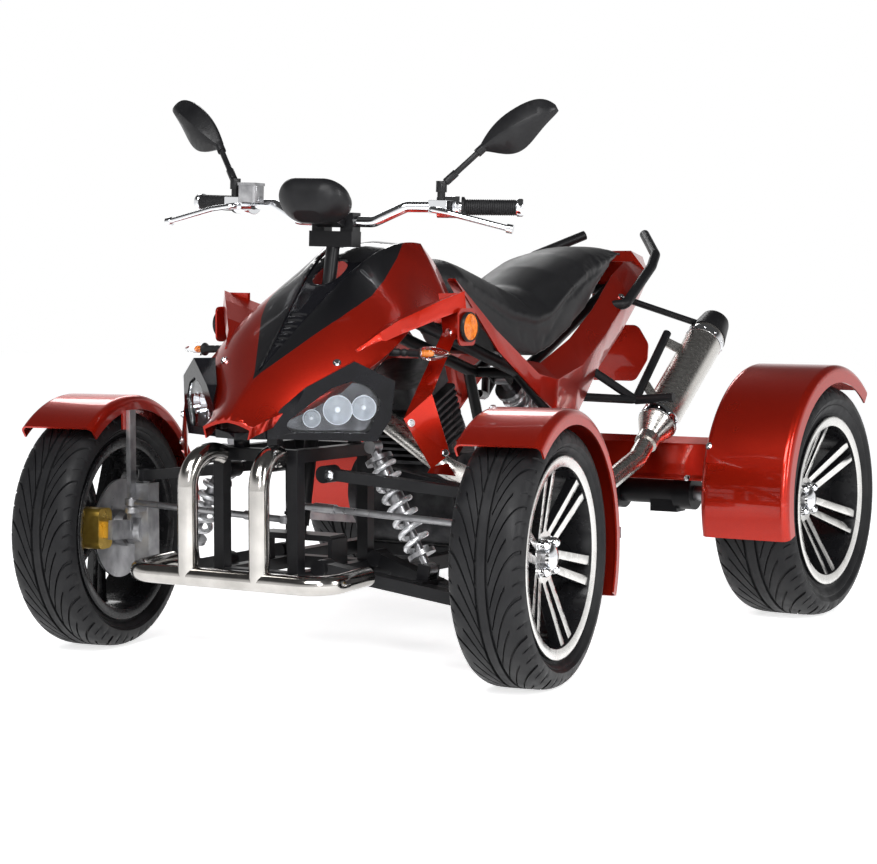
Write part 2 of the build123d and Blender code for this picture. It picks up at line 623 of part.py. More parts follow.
# Suspension arms: flat box bars, a leading and a trailing one up and down, meeting at the ball joints
EYE_HALF = 14.0
BUSH = 17.0
BUSH_X = POST_X + POST / 2 + BUSH + FIT
ARMS = (
    # lead y, trail y, inner z, ball joint z, depth
    (FRONT_AXLE_Y - 84, FRONT_AXLE_Y + 76, 396, KNUCKLE_HIGH_Z + 16, 21),
    (POST_FRONT_Y + 50, POST_REAR_Y + 4, 214, KNUCKLE_LOW_Z - 22, 25),
)
with BuildPart() as arm_set:
    for lead_y, trail_y, inner_z, ball_z, size in ARMS:
        end = (KINGPIN_X, FRONT_AXLE_Y, ball_z)
        for y in (lead_y, trail_y):
            add(bar((BUSH_X, y, inner_z), end, size + 5, size, side=(0, 1, 0)))
            add(rod((BUSH_X, y - 20, inner_z), (BUSH_X, y + 20, inner_z), BUSH))
        add(rod((*KP, ball_z - 12), (*KP, ball_z + 12), 17))
        add(rod((*KP, ball_z - 40), (*KP, ball_z + 40), 7 + FIT), mode=Mode.SUBTRACT)
    add(bar((292, FRONT_AXLE_Y - 40, 186), (292, FRONT_AXLE_Y + 40, 186), 30, 12))
    for y in (-EYE_HALF - FIT - 3, EYE_HALF + FIT + 3):
        add(bar((292, FRONT_AXLE_Y + y, 186), (297, FRONT_AXLE_Y + y, 222), 26, 6))
with BuildPart() as arms:
    add(both(arm_set.part))

# Dampers: a pair in front and one over the swingarm
DAMPER_TOP = (168.0, FRONT_AXLE_Y, 446.0)
DAMPER_FOOT = (296.0, FRONT_AXLE_Y, 212.0)
SEAT_HIGH = 0.125
SEAT_LOW = 0.86


def damper(top, foot, size, eye_axis):
    """Damper body, rod, spring seats and the eyes at its two ends."""
    with BuildPart() as piece:
        add(rod(share(top, foot, 0.1), share(top, foot, 0.55), size))
        add(rod(share(top, foot, 0.5), share(top, foot, 0.96), size * 0.5))
        add(rod(share(top, foot, SEAT_HIGH - 0.035), share(top, foot, SEAT_HIGH), size * 1.75))
        add(rod(share(top, foot, SEAT_LOW), share(top, foot, SEAT_LOW + 0.035), size * 1.75))
        add(rod(top, share(top, foot, 0.12), size * 0.62))
        for end in (top, foot):
            x, y, z = end
            dx, dy = eye_axis
            add(rod((x - dx, y - dy, z), (x + dx, y + dy, z), 13))
    return piece.part


def coil(top, foot, size, turns):
    """The coil spring between a damper's two spring seats."""
    low, high = Vector(*share(top, foot, SEAT_LOW)), Vector(*share(top, foot, SEAT_HIGH))
    wire = 4.5
    rest = wire + 1.3 * FIT
    length = (high - low).length - 2 * rest
    with BuildPart() as piece:
        with BuildLine() as path:
            Helix(pitch=length / turns, height=length, radius=size * 1.42)
        with BuildSketch(Plane(origin=path.line @ 0, z_dir=path.line % 0)):
            Rectangle(2 * wire, 2 * wire)
        sweep(is_frenet=True)
    frame = Plane(origin=low + (high - low).normalized() * rest, z_dir=high - low)
    return piece.part.moved(frame.location)


with BuildPart() as dampers:
    add(both(damper(DAMPER_TOP, DAMPER_FOOT, 16, (0, EYE_HALF))))
    add(damper(REAR_DAMPER_TOP, REAR_DAMPER_FOOT, 20, (REAR_EYE_HALF, 0)))
with BuildPart() as springs:
    add(both(coil(DAMPER_TOP, DAMPER_FOOT, 16, 7)))
    add(coil(REAR_DAMPER_TOP, REAR_DAMPER_FOOT, 20, 7))

# Nose cowl: crowned side faces from the beak back to the tank peaks, then a short rear face
NOSE = (
    # y, ridge x, ridge z, swell x, swell z, edge x, edge z
    (-842, 3, 506, 30, 502, 58, 492),
    (-742, 8, 594, 56, 578, 112, 536),
    (-610, 34, 702, 100, 688, 205, 622),
    (-480, 62, 800, 118, 770, 200, 690),
    (-312, 102, 848, 126, 808, 186, 690),
    (-226, 84, 806, 106, 768, 150, 676),
)
CHIN = 22.0


def nose_solid(inset):
    """The cowl's outer form, or that form set in by a wall thickness."""
    with BuildPart() as form:
        for stations, straight in ((NOSE[:-1], False), (NOSE[-2:], True)):
            for y, rx, rz, sx, sz, ex, ez in stations:
                half = [(rx, rz), (sx, sz), (ex, ez), (ex * 0.9, ez - CHIN)]
                ridge, swell, edge, chin = [(max(x - inset, 0.4 * x), z - inset) for x, z in half]
                with BuildSketch(Plane(origin=(0, y, 0), x_dir=(1, 0, 0), z_dir=(0, -1, 0))):
                    with BuildLine():
                        ThreePointArc(ridge, swell, edge)
                        Polyline(edge, chin, (-chin[0], chin[1]), (-edge[0], edge[1]))
                        ThreePointArc((-edge[0], edge[1]), (-swell[0], swell[1]), (-ridge[0], ridge[1]))
                        Line((-ridge[0], ridge[1]), ridge)
                    make_face()
            loft(ruled=straight)
    return form.part


WELL_RADIUS = 34.0
column_well = rod(on_column(640), on_column(900), WELL_RADIUS)
nose_form = nose_solid(0)
nose_inside = nose_solid(PANEL + 1)
with BuildPart() as cowl_shell:
    add(nose_form)
    add(nose_inside, mode=Mode.SUBTRACT)
    add(nose_inside.moved(Location((0, 0, -30))), mode=Mode.SUBTRACT)
    add(column_well, mode=Mode.SUBTRACT)

# Black inlay with a slotted grille, crowned between the cowl's ridges
INLAY_EDGE = 7.0
INLAY_CROWN = 9.0
INLAY_FRONT_Y = -742.0


def inlay_form(gap, low, high, crown):
    """The strip along the cowl's top between heights low and high off the ridges, crowned at the middle."""
    with BuildPart() as form:
        for y, rx, rz, *rest in NOSE[:-1]:
            half = max(rx - INLAY_EDGE, 2.0) - gap
            rise = crown * rx / NOSE[-2][1]
            with BuildSketch(Plane(origin=(0, y, 0), x_dir=(1, 0, 0), z_dir=(0, -1, 0))):
                with BuildLine():
                    Polyline(
                        (-half, rz + low), (0, rz + low + rise), (half, rz + low), (half, rz + high),
                        (0, rz + high + rise), (-half, rz + high), close=True,
                    )
                make_face()
        loft()
        with Locations((0, INLAY_FRONT_Y - 200, 500)):
            Box(400, 400, 900, mode=Mode.SUBTRACT)
    return form.part


with BuildPart() as nose_inlay:
    add(inlay_form(FIT, -9, -3, INLAY_CROWN))
    add(column_well, mode=Mode.SUBTRACT)
    for step in range(6):
        y = -676 + step * 14
        with Locations((0, y, 594 + (y - INLAY_FRONT_Y) * 0.82)):
            Box(2 * (12 + step * 1.6), 6, 80, mode=Mode.SUBTRACT)
with BuildPart() as nose_cowl:
    add(cowl_shell.part)
    add(inlay_form(0, -14, 14, 0), mode=Mode.SUBTRACT)

# Side wings: a lipped blade each side sweeping up and back, its end plate and the folded leg below
WING = (
    # y, crest x, crest z, lip x, lip z
    (-636, 160, 638, 163, 628),
    (-591, 186, 671, 189, 650),
    (-561, 212, 695, 216, 667),
    (-529, 238, 713, 242, 682),
    (-498, 264, 731, 268, 698),
    (-458, 297, 751, 301, 716),
)
WING_ROOT_X = 100.0
WING_DISH = 0.3
with BuildPart() as blade:
    for y, cx, cz, lx, lz in WING:
        root_z = cz - WING_DISH * (cx - WING_ROOT_X)
        with BuildSketch(Plane(origin=(0, y, 0), x_dir=(1, 0, 0), z_dir=(0, -1, 0))):
            with BuildLine():
                Polyline(
                    (WING_ROOT_X, root_z), (cx, cz), (lx, lz), (lx - PANEL, lz), (cx - PANEL, cz - PANEL - 1),
                    (WING_ROOT_X, root_z - PANEL - 1), close=True,
                )
            make_face()
    loft(ruled=True)
    add(nose_form, mode=Mode.SUBTRACT)
LEG = (
    # the four corners of each folded plate: two above, two below
    ((236, -458, 746), (297, -458, 747), (300, -450, 660), (244, -450, 650)),
    ((244, -456, 668), (276, -454, 664), (300, -584, 553), (268, -636, 506)),
    ((268, -636, 506), (300, -584, 553), (330, -566, 436), (302, -590, 408)),
    ((302, -590, 412), (328, -570, 418), (332, -548, 392), (294, -592, 400)),
)
FOLD = Vector(-3, 5, 0)
with BuildPart() as wing_left:
    add(blade.part)
    for corners in LEG:
        outer = [Vector(*corner) for corner in corners]
        add(hull([tuple(p) for p in outer] + [tuple(p + FOLD) for p in outer]))
    with BuildSketch(Plane(origin=(WING[-1][3], -454, 680), x_dir=(0, 1, 0), z_dir=(-1, 0, 0))):
        RectangleRounded(62, 74, 12)
    extrude(amount=PANEL)
with BuildPart() as side_wings:
    add(both(wing_left.part))

# Headlight mask under the beak: a raked plate each side, pocketed for its lens, and the chin between
LAMP_PLACE = Vector(165, -712, 525)
LAMP_LOOK = Vector(0.593, -0.805, 0)
LAMP_PLANE = Plane(origin=LAMP_PLACE, x_dir=(0.805, 0.593, 0), z_dir=LAMP_LOOK)
MASK = [(-136, -56), (-136, -22), (-60, 42), (34, 92), (112, 54), (104, -18), (76, -62)]
LENS = [(-108, -33), (-12, 40), (30, 54), (66, 42), (86, 12), (60, -46), (-80, -44)]
LENS_CORNER = 12.0
LENS_WALL = 5.0
MASK_DEPTH = 92.0


def lens_form(gap, front, depth):
    """The lens outline, set in by a gap, from front back through a depth."""
    with BuildPart() as form:
        with BuildSketch(LAMP_PLANE.offset(front)):
            with BuildLine():
                FilletPolyline(*LENS, radius=LENS_CORNER, close=True)
            make_face()
            if gap:
                offset(amount=-gap, mode=Mode.REPLACE)
        extrude(amount=-depth)
    return form.part


with BuildPart() as mask_left:
    with BuildSketch(LAMP_PLANE.offset(4)):
        Polygon(*MASK, align=None)
    extrude(amount=-MASK_DEPTH)
    add(hull([
        (0, -812, 500), (60, -800, 500), (0, -816, 468), (60, -800, 468),
        (0, -700, 540), (60, -700, 540), (0, -700, 470), (60, -700, 470),
    ]))
    with Locations((-200, -700, 550)):
        Box(400, 600, 400, mode=Mode.SUBTRACT)
    for drop in (-0.6, 0, 14):
        add(nose_form.moved(Location((0, 0, drop))), mode=Mode.SUBTRACT)
    add(wing_left.part, mode=Mode.SUBTRACT)
    add(lens_form(0, 40, 96), mode=Mode.SUBTRACT)
    add(rod(hoop[0], hoop[1], HOOP / 2 + 2), mode=Mode.SUBTRACT)
    with Locations((40, POST_FRONT_Y, POST_TOP_Z + FIT)):
        Box(24, 20, 34, align=(Align.CENTER, Align.CENTER, Align.MIN))
with BuildPart() as headlight_mask:
    add(mask_left.part)
    mirror(about=Plane.YZ)
with BuildPart() as headlight_lenses:
    add(both(lens_form(FIT, 0, LENS_WALL)))

# Round amber reflectors on the wing ends
with BuildPart() as side_reflectors:
    reflector_x = WING[-1][3] + FIT
    add(both(rod((reflector_x, -454, 680), (reflector_x + 8, -454, 680), 30)))

# Clear turn signals on stems from the cowl's edge
SIGNAL = (286.0, -566.0, 630.0)
SIGNAL_RADIUS = 14.0
with BuildPart() as signal_left:
    add(rod((262, *SIGNAL[1:]), SIGNAL, SIGNAL_RADIUS))
    with BuildSketch(Plane(origin=SIGNAL, z_dir=(1, 0, 0))):
        Circle(SIGNAL_RADIUS)
    with BuildSketch(Plane(origin=(SIGNAL[0] + 38, SIGNAL[1] + 10, SIGNAL[2]), z_dir=(1, 0, 0))):
        Circle(5)
    loft()
    add(rod((188, SIGNAL[1] - 14, SIGNAL[2] + 2), (270, *SIGNAL[1:]), 8))
    add(nose_form, mode=Mode.SUBTRACT)
with BuildPart() as signals:
    add(both(signal_left.part))

# Seat: long two-step saddle with a crowned top
SEAT = (
    # y, half width, underside z, side z, crown z
    (-190, 40, 774, 796, 812),
    (-100, 88, 713, 776, 820),
    (55, 122, 610.4, 706, 776),
    (130, 142, 600, 692, 752),
    (190, 146, 620, 704, 758),
    (280, 144, 660, 756, 803),
    (374, 137, 708, 796, 834),
    (471, 120, 766, 820, 850),
    (600, 98, 828, 842, 857),
    (708, 66, 832, 837, 842),
)
with BuildPart() as seat:
    for y, half, under, side, crown in SEAT:
        with BuildSketch(Plane(origin=(0, y, 0), x_dir=(1, 0, 0), z_dir=(0, -1, 0))):
            with BuildLine():
                ThreePointArc((half, side), (0, crown), (-half, side))
                Polyline((-half, side), (-half + 8, under), (half - 8, under), (half, side))
            make_face()
    loft(ruled=True)

# Tail cowl: a creased side panel each side under the seat, joined by the pointed tail hood
TAIL = (
    # y, top x, top z, crease x, crease z, low x, low z
    (-218, 112, 776, 128, 776, 134, 768),
    (-104, 92, 700, 160, 668, 168, 620),
    (60, 118, 600, 176, 566, 176, 518),
    (130, 138, 588, 184, 552, 176, 482),
    (262, 141, 640, 176, 580, 160, 464),
    (394, 130, 706, 166, 650, 148, 572),
    (540, 106, 788, 150, 735, 132, 652),
    (640, 86, 818, 134, 770, 118, 712),
    (716, 74, 820, 112, 790, 104, 760),
)


def tail_loft(outline):
    """A loft through the tail's stations, each with the outline drawn from its top, crease and low points."""
    with BuildPart() as form:
        for y, tx, tz, cx, cz, lx, lz in TAIL:
            with BuildSketch(Plane(origin=(0, y, 0), x_dir=(1, 0, 0), z_dir=(0, -1, 0))):
                Polygon(*outline((tx, tz), (cx, cz), (lx, lz)), align=None)
        loft(ruled=True)
    return form.part


def panel_outline(top, crease, low):
    inner = [(x - PANEL, z) for x, z in (low, (crease[0], crease[1] - 1), (top[0], top[1] - PANEL))]
    return [top, crease, low, *inner]


def filled_outline(top, crease, low):
    return [top, crease, low, (0, low[1]), (0, top[1])]


panel_left = tail_loft(panel_outline)
tail_form = tail_loft(filled_outline)
HOOD_END_Y = 868.0
with BuildPart() as tail_cowl:
    add(panel_left)
    add(panel_left.mirror(Plane.YZ))
    add(hull([
        (80, 640, 818), (-80, 640, 818), (72, 715, 820), (-72, 715, 820), (108, 715, 788), (-108, 715, 788),
        (128, 640, 770), (-128, 640, 770),
    ]))
    add(hull([
        (74, 712, 820), (-74, 712, 820), (62, 722, 846), (-62, 722, 846), (40, 830, 832), (-40, 830, 832),
        (26, HOOD_END_Y, 814), (-26, HOOD_END_Y, 814), (26, HOOD_END_Y, 792), (-26, HOOD_END_Y, 792),
        (112, 716, 790), (-112, 716, 790), (104, 712, 762), (-104, 712, 762), (60, 790, 766), (-60, 790, 766),
    ]))

# Grab rails curl up behind the seat
RAIL_RUN = [(120, 478, 712), (166, 492, 716), (174, 612, 806), (168, 644, 834), (84, 752, 886)]
with BuildPart() as rail_left:
    add(bent_tube(RAIL_RUN, 24, 14))
    add(tail_form, mode=Mode.SUBTRACT)
with BuildPart() as grab_rails:
    add(both(rail_left.part))

# Tail lamp across the end of the hood
with BuildPart() as tail_lamp:
    with Locations((0, HOOD_END_Y + 4, 803)):
        Box(52, 8, 22)
    fillet(tail_lamp.edges().filter_by(Axis.Y), 6)

# Red mudguard: a rounded lobe on a strap under the tail
LOBE = [(-80, 76), (-106, 28), (-100, -12), (-62, -66), (62, -66), (100, -12), (106, 28), (80, 76)]
LOBE_PLANE = Plane(origin=(0, 740, 588), x_dir=(1, 0, 0), z_dir=(0, -0.985, -0.174))
with BuildPart() as tail_mudguard:
    with BuildSketch(LOBE_PLANE):
        with BuildLine():
            FilletPolyline(*LOBE, radius=24, close=True)
        make_face()
    extrude(amount=PANEL)
    add(bar((0, 722, 650), (0, 722, 758), 90, PANEL))
    with Locations((0, 722, 760)):
        Box(90, 26, 4)

# Rear fenders, fixed over the rear wheels
REAR_FENDER_CENTRE = (REAR_WHEEL_X, REAR_AXLE_Y, REAR_TYRE_RADIUS + 14)
REAR_FENDER_RADIUS = REAR_TYRE_RADIUS + 31
REAR_FENDER_HALF = REAR_TYRE_WIDTH / 2 + 8
with BuildPart() as fenders_rear:
    cover = arc_fender(REAR_FENDER_CENTRE, REAR_FENDER_RADIUS, REAR_FENDER_HALF, -38, 106, 40)
    add(cover)
    add(cover.mirror(Plane.YZ))

# Red cover over the rear axle between the fenders, its lip down on the carrier's bearing housings
COVER = (
    # y from the axle, z from the axle
    (-108, 44), (-100, 52), (-62, 122), (-26, 136), (48, 128), (98, 64),
)
COVER_HALF = REAR_WHEEL_X - REAR_FENDER_HALF - FIT
STRAP = 5.0
with BuildPart() as axle_cover:
    with BuildSketch(Plane.YZ.offset(-COVER_HALF)):
        with BuildLine():
            roof = [(REAR_AXLE_Y + y, REAR_TYRE_RADIUS + z) for y, z in COVER]
            Polyline(*roof, *[(y, z - PANEL - 1) for y, z in reversed(roof)], close=True)
        make_face()
    extrude(amount=2 * COVER_HALF)
    for x in (-CARRIER_X + 20, CARRIER_X - 20):
        foot = (x, REAR_AXLE_Y, REAR_TYRE_RADIUS + 40 + FIT)
        add(bar(foot, (x, REAR_AXLE_Y, REAR_TYRE_RADIUS + 128), 24, 24))
    for x in (-COVER_HALF + STRAP / 2, COVER_HALF - STRAP / 2):
        lip_z = REAR_FENDER_CENTRE[2] + REAR_FENDER_RADIUS - 10
        add(bar((x, REAR_AXLE_Y, REAR_TYRE_RADIUS + 128), (x, REAR_AXLE_Y, lip_z), STRAP, 40))

# Exhaust: header, link pipe and silencer up the left side, its black end cap and stay
PIPE_X = 250.0
PORT_OUT_DIR = (0, -cos(radians(LEAN)), -sin(radians(LEAN)))
PORT = tuple(barrel_plane.origin + barrel_plane.z_dir * 188 + Vector(*PORT_OUT_DIR) * (75 + FIT))
PORT_OUT = tuple(Vector(*PORT) + Vector(*PORT_OUT_DIR))
SILENCER_LOW = (PIPE_X, 452.0, 406.0)
SILENCER_HIGH = (PIPE_X, 762.0, 634.0)
SILENCER_RADIUS = 46.0
PIPE_RADIUS = 22.0
STAY_X = 206.0
STAY_RADIUS = 10.0
STAY_KNEE = (STAY_X, 468.0, 492.0)
STAY_HEAD = (STAY_X, 634.0, 646.0)
silencer_run = Vector(*SILENCER_HIGH) - Vector(*SILENCER_LOW)
with BuildPart() as exhaust:
    add(bent_tube([
        PORT, share(PORT, PORT_OUT, 48), (176, -330, 385), (206, -150, 322), (PIPE_X, 190, 300),
        share(SILENCER_LOW, SILENCER_HIGH, -0.2), share(SILENCER_LOW, SILENCER_HIGH, 0.05),
    ], 2 * PIPE_RADIUS, 30))
    for reach, size in ((0.0, PIPE_RADIUS + 3), (0.12, SILENCER_RADIUS)):
        with BuildSketch(Plane(origin=share(SILENCER_LOW, SILENCER_HIGH, reach), z_dir=silencer_run)):
            Circle(size)
    loft()
    add(rod(share(SILENCER_LOW, SILENCER_HIGH, 0.12), SILENCER_HIGH, SILENCER_RADIUS))
    add(rod(share(SILENCER_LOW, SILENCER_HIGH, -0.06), SILENCER_LOW, PIPE_RADIUS + 5))
    for reach in (0.24, 0.8):
        weld = share(SILENCER_LOW, SILENCER_HIGH, reach)
        hook = share(STAY_KNEE, STAY_HEAD, reach * 1.1)
        toward = (Vector(*weld) - Vector(*hook)).normalized() * STAY_RADIUS * 0.6
        add(bar(weld, tuple(Vector(*hook) + toward), 5, 26, side=tuple(silencer_run.cross(toward))))
    add(rod(STAY_KNEE, STAY_HEAD, STAY_RADIUS + FIT), mode=Mode.SUBTRACT)
with BuildPart() as silencer_cap:
    with BuildSketch(Plane(origin=SILENCER_HIGH, z_dir=silencer_run)):
        Circle(SILENCER_RADIUS + 1.5)
    with BuildSketch(Plane(origin=share(SILENCER_LOW, SILENCER_HIGH, 1.16), z_dir=silencer_run)):
        Circle(SILENCER_RADIUS - 10)
    loft()
    bore_in, bore_out = share(SILENCER_LOW, SILENCER_HIGH, 1.06), share(SILENCER_LOW, SILENCER_HIGH, 1.2)
    add(rod(bore_in, bore_out, 18), mode=Mode.SUBTRACT)
    with Locations(Plane(origin=share(SILENCER_LOW, SILENCER_HIGH, 1.155), z_dir=(0, 0.97, 0.25))):
        Box(200, 200, 120, align=(Align.CENTER, Align.CENTER, Align.MIN), mode=Mode.SUBTRACT)

# Passenger peg brackets: forked stays from the tail, the pegs, and on the left a stay to the silencer's cap
with BuildPart() as bracket_left:
    add(bent_tube([(120, 290, 506), STAY_KNEE, STAY_HEAD], 2 * STAY_RADIUS, 26))
    add(rod((120, 330, 590), STAY_KNEE, STAY_RADIUS))
    add(rod(STAY_KNEE, (STAY_X + 96, STAY_KNEE[1] + 6, STAY_KNEE[2] + 8), 11))
    add(tail_form, mode=Mode.SUBTRACT)
    add(panel_left, mode=Mode.SUBTRACT)
with BuildPart() as tail_stay:
    cap_x, cap_y, cap_z = share(SILENCER_LOW, SILENCER_HIGH, 1.05)
    add(rod((92, 527, 745), (cap_x - 18, cap_y - 4, cap_z + 18), 8))
    add(tail_form, mode=Mode.SUBTRACT)
    add(panel_left, mode=Mode.SUBTRACT)
    add(silencer_cap.part, mode=Mode.SUBTRACT)
    add(exhaust.part, mode=Mode.SUBTRACT)
with BuildPart() as peg_brackets:
    add(both(bracket_left.part))
    add(tail_stay.part)

# Rider foot pegs
RAIL_SIDE = RAIL_X + RAIL / 2 + FIT
with BuildPart() as peg_left:
    add(bar((RAIL_SIDE, 0, 232), (400, 0, 232), 46, 24, side=(0, 1, 0)))
    add(bar((RAIL_SIDE + 8, 0, RAIL_Z - 10), (RAIL_SIDE + 8, 0, 232), 16, 40))
with BuildPart() as rider_pegs:
    add(both(peg_left.part))

os.makedirs("parts", exist_ok=True)
NODES = {
    "tyre_front_left": tyre_front_left, "tyre_front_right": tyre_front_right,
    "rim_front_left": rim_front_left, "rim_front_right": rim_front_right,
    "hub_front_left": hub_front_left, "hub_front_right": hub_front_right,
    "knuckle_left": knuckle_left, "knuckle_right": knuckle_right,
    "caliper_left": caliper_left, "caliper_right": caliper_right,
    "fender_front_left": fender_front_left, "fender_front_right": fender_front_right,
    "tie_rod_left": tie_rod_left, "tie_rod_right": tie_rod_right,
    "steering_column": steering_column, "handlebar": handlebar, "grips": grips,
    "controls": controls, "levers": levers, "reservoir": reservoir,
    "instrument_pod": instrument_pod, "mirrors": mirrors,
    "tyres_rear": tyres_rear, "rims_rear": rims_rear, "rear_axle": rear_axle,
    "rails": rails, "bulkhead": bulkhead, "spine": spine, "bumper": bumper,
    "engine": engine, "swing_arm": swing_arm, "arms": arms, "dampers": dampers,
    "springs": springs, "nose_cowl": nose_cowl,
    "nose_inlay": nose_inlay,
    "headlight_mask": headlight_mask,
    "headlight_lenses": headlight_lenses,
    "side_wings": side_wings,
    "side_reflectors": side_reflectors,
    "signals": signals,
    "seat": seat,
    "tail_cowl": tail_cowl,
    "grab_rails": grab_rails,
    "tail_lamp": tail_lamp,
    "tail_mudguard": tail_mudguard,
    "fenders_rear": fenders_rear,
    "axle_cover": axle_cover,
    "exhaust": exhaust,
    "silencer_cap": silencer_cap,
    "peg_brackets": peg_brackets,
    "rider_pegs": rider_pegs,
}
for name, node in NODES.items():
    node.part.label = name
    export_step(node.part, "parts/" + name + ".step")
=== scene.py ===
import json
import math

import bmesh
import bpy
from mathutils import Matrix, Vector
from mathutils.bvhtree import BVHTree


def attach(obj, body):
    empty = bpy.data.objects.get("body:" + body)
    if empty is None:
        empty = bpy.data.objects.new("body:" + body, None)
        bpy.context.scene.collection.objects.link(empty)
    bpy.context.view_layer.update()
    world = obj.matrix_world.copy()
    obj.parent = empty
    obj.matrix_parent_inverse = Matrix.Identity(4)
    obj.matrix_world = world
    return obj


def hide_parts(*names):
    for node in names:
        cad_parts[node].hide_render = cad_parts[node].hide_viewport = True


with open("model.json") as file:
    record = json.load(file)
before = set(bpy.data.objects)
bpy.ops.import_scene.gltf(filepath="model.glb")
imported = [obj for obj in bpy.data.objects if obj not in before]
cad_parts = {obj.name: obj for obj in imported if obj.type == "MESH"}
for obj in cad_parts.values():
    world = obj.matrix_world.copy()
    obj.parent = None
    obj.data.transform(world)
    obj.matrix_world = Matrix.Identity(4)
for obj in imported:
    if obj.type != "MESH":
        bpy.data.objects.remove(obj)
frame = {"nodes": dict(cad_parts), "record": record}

for leftover in ("Cube", "Light", "Camera"):
    if leftover in bpy.data.objects:
        bpy.data.objects.remove(bpy.data.objects[leftover])
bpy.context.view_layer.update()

# Studio: a white floor that runs out into a white wall under a dark ceiling, a
# large soft box over the front left, two tall strips beside the machine and a
# weak one behind, and the camera three quarters on from the front left.
scene = bpy.context.scene
scene.view_settings.view_transform = "Standard"
FRAME_WIDTH = 877
FRAME_HEIGHT = 864
FLOOR_REACH = 14.0
FLOOR_GLOW = 0.72
WALL_TOP = 0.14
CEILING_FROM = 0.46
CEILING_LEVEL = 0.07
SKY_LEVEL = 0.32


def seen_rays(tree):
    """One where a ray comes from the camera, or from metal or glass that shows the wall."""
    rays = tree.nodes.new("ShaderNodeLightPath")
    seen = rays.outputs["Is Camera Ray"]
    for kind in ("Is Glossy Ray", "Is Transmission Ray"):
        either = tree.nodes.new("ShaderNodeMath")
        either.operation = "MAXIMUM"
        tree.links.new(seen, either.inputs[0])
        tree.links.new(rays.outputs[kind], either.inputs[1])
        seen = either.outputs[0]
    return seen


floor_mesh = bpy.data.meshes.new("floor")
floor_form = bmesh.new()
bmesh.ops.create_grid(floor_form, x_segments=2, y_segments=2, size=FLOOR_REACH)
floor_form.to_mesh(floor_mesh)
floor_form.free()
floor = bpy.data.objects.new("floor", floor_mesh)
scene.collection.objects.link(floor)
floor_paint = bpy.data.materials.new("floor_white")
floor_paint.use_nodes = True
floor_tree = floor_paint.node_tree
floor_shader = floor_tree.nodes["Principled BSDF"]
floor_shader.inputs["Base Color"].default_value = (0.92, 0.92, 0.92, 1)
floor_shader.inputs["Roughness"].default_value = 0.9
floor_shader.inputs["Specular IOR Level"].default_value = 0.1
floor_shader.inputs["Emission Color"].default_value = (1, 1, 1, 1)
floor_glow = floor_tree.nodes.new("ShaderNodeMath")
floor_glow.operation = "MULTIPLY"
floor_glow.inputs[1].default_value = FLOOR_GLOW
floor_tree.links.new(seen_rays(floor_tree), floor_glow.inputs[0])
floor_tree.links.new(floor_glow.outputs[0], floor_shader.inputs["Emission Strength"])
floor_mesh.materials.append(floor_paint)

sky = bpy.data.worlds.new("studio")
sky.use_nodes = True
scene.world = sky
sky_tree = sky.node_tree
sky_tree.nodes.clear()
sky_out = sky_tree.nodes.new("ShaderNodeOutputWorld")
sky_seen = sky_tree.nodes.new("ShaderNodeBackground")
sky_lit = sky_tree.nodes.new("ShaderNodeBackground")
sky_mix = sky_tree.nodes.new("ShaderNodeMixShader")
sky_way = sky_tree.nodes.new("ShaderNodeTexCoord")
sky_height = sky_tree.nodes.new("ShaderNodeSeparateXYZ")
sky_fall = sky_tree.nodes.new("ShaderNodeMapRange")
sky_fall.interpolation_type = "SMOOTHSTEP"
sky_fall.inputs["From Min"].default_value = WALL_TOP
sky_fall.inputs["From Max"].default_value = CEILING_FROM
sky_fall.inputs["To Min"].default_value = 1.0
sky_fall.inputs["To Max"].default_value = CEILING_LEVEL
sky_seen.inputs["Color"].default_value = (1, 1, 1, 1)
sky_lit.inputs["Color"].default_value = (0.95, 0.97, 1.0, 1)
sky_lit.inputs["Strength"].default_value = SKY_LEVEL
sky_tree.links.new(sky_way.outputs["Generated"], sky_height.inputs[0])
sky_tree.links.new(sky_height.outputs["Z"], sky_fall.inputs["Value"])
sky_tree.links.new(sky_fall.outputs["Result"], sky_seen.inputs["Strength"])
sky_tree.links.new(seen_rays(sky_tree), sky_mix.inputs["Fac"])
sky_tree.links.new(sky_lit.outputs[0], sky_mix.inputs[1])
sky_tree.links.new(sky_seen.outputs[0], sky_mix.inputs[2])
sky_tree.links.new(sky_mix.outputs[0], sky_out.inputs["Surface"])

SOFT_BOXES = (
    # name, place, aim, width, height, power
    ("soft_box", (0.9, -3.6, 3.6), (0, -0.2, 0.5), 2.6, 1.6, 150),
    ("front_strip", (2.4, -3.3, 1.7), (0.2, 0, 0.5), 0.5, 1.6, 55),
    ("side_strip", (4.2, -0.9, 2.1), (0.2, 0.2, 0.5), 0.6, 2.2, 70),
    ("back_strip", (-3.0, 3.2, 3.2), (0, 0, 0.7), 2.6, 1.0, 45),
)
for name, place, aim, width, height, power in SOFT_BOXES:
    lamp = bpy.data.lights.new(name, "AREA")
    lamp.shape = "RECTANGLE"
    lamp.size = width
    lamp.size_y = height
    lamp.energy = power
    hung = bpy.data.objects.new(name, lamp)
    hung.location = place
    hung.rotation_euler = (Vector(aim) - Vector(place)).to_track_quat("-Z", "Y").to_euler()
    scene.collection.objects.link(hung)

SENSOR_WIDTH = 36
FOCAL_LENGTH = 92.14
CAMERA_PLACE = (2.602, -4.256, 0.769)
CAMERA_DIP = math.radians(3.827)
CAMERA_TURN = math.radians(31.918)
lens = bpy.data.cameras.new("camera")
lens.sensor_width = SENSOR_WIDTH
lens.lens = FOCAL_LENGTH
camera = bpy.data.objects.new("camera", lens)
camera.location = CAMERA_PLACE
camera.rotation_euler = (math.pi / 2 - CAMERA_DIP, 0, CAMERA_TURN)
scene.collection.objects.link(camera)
scene.camera = camera

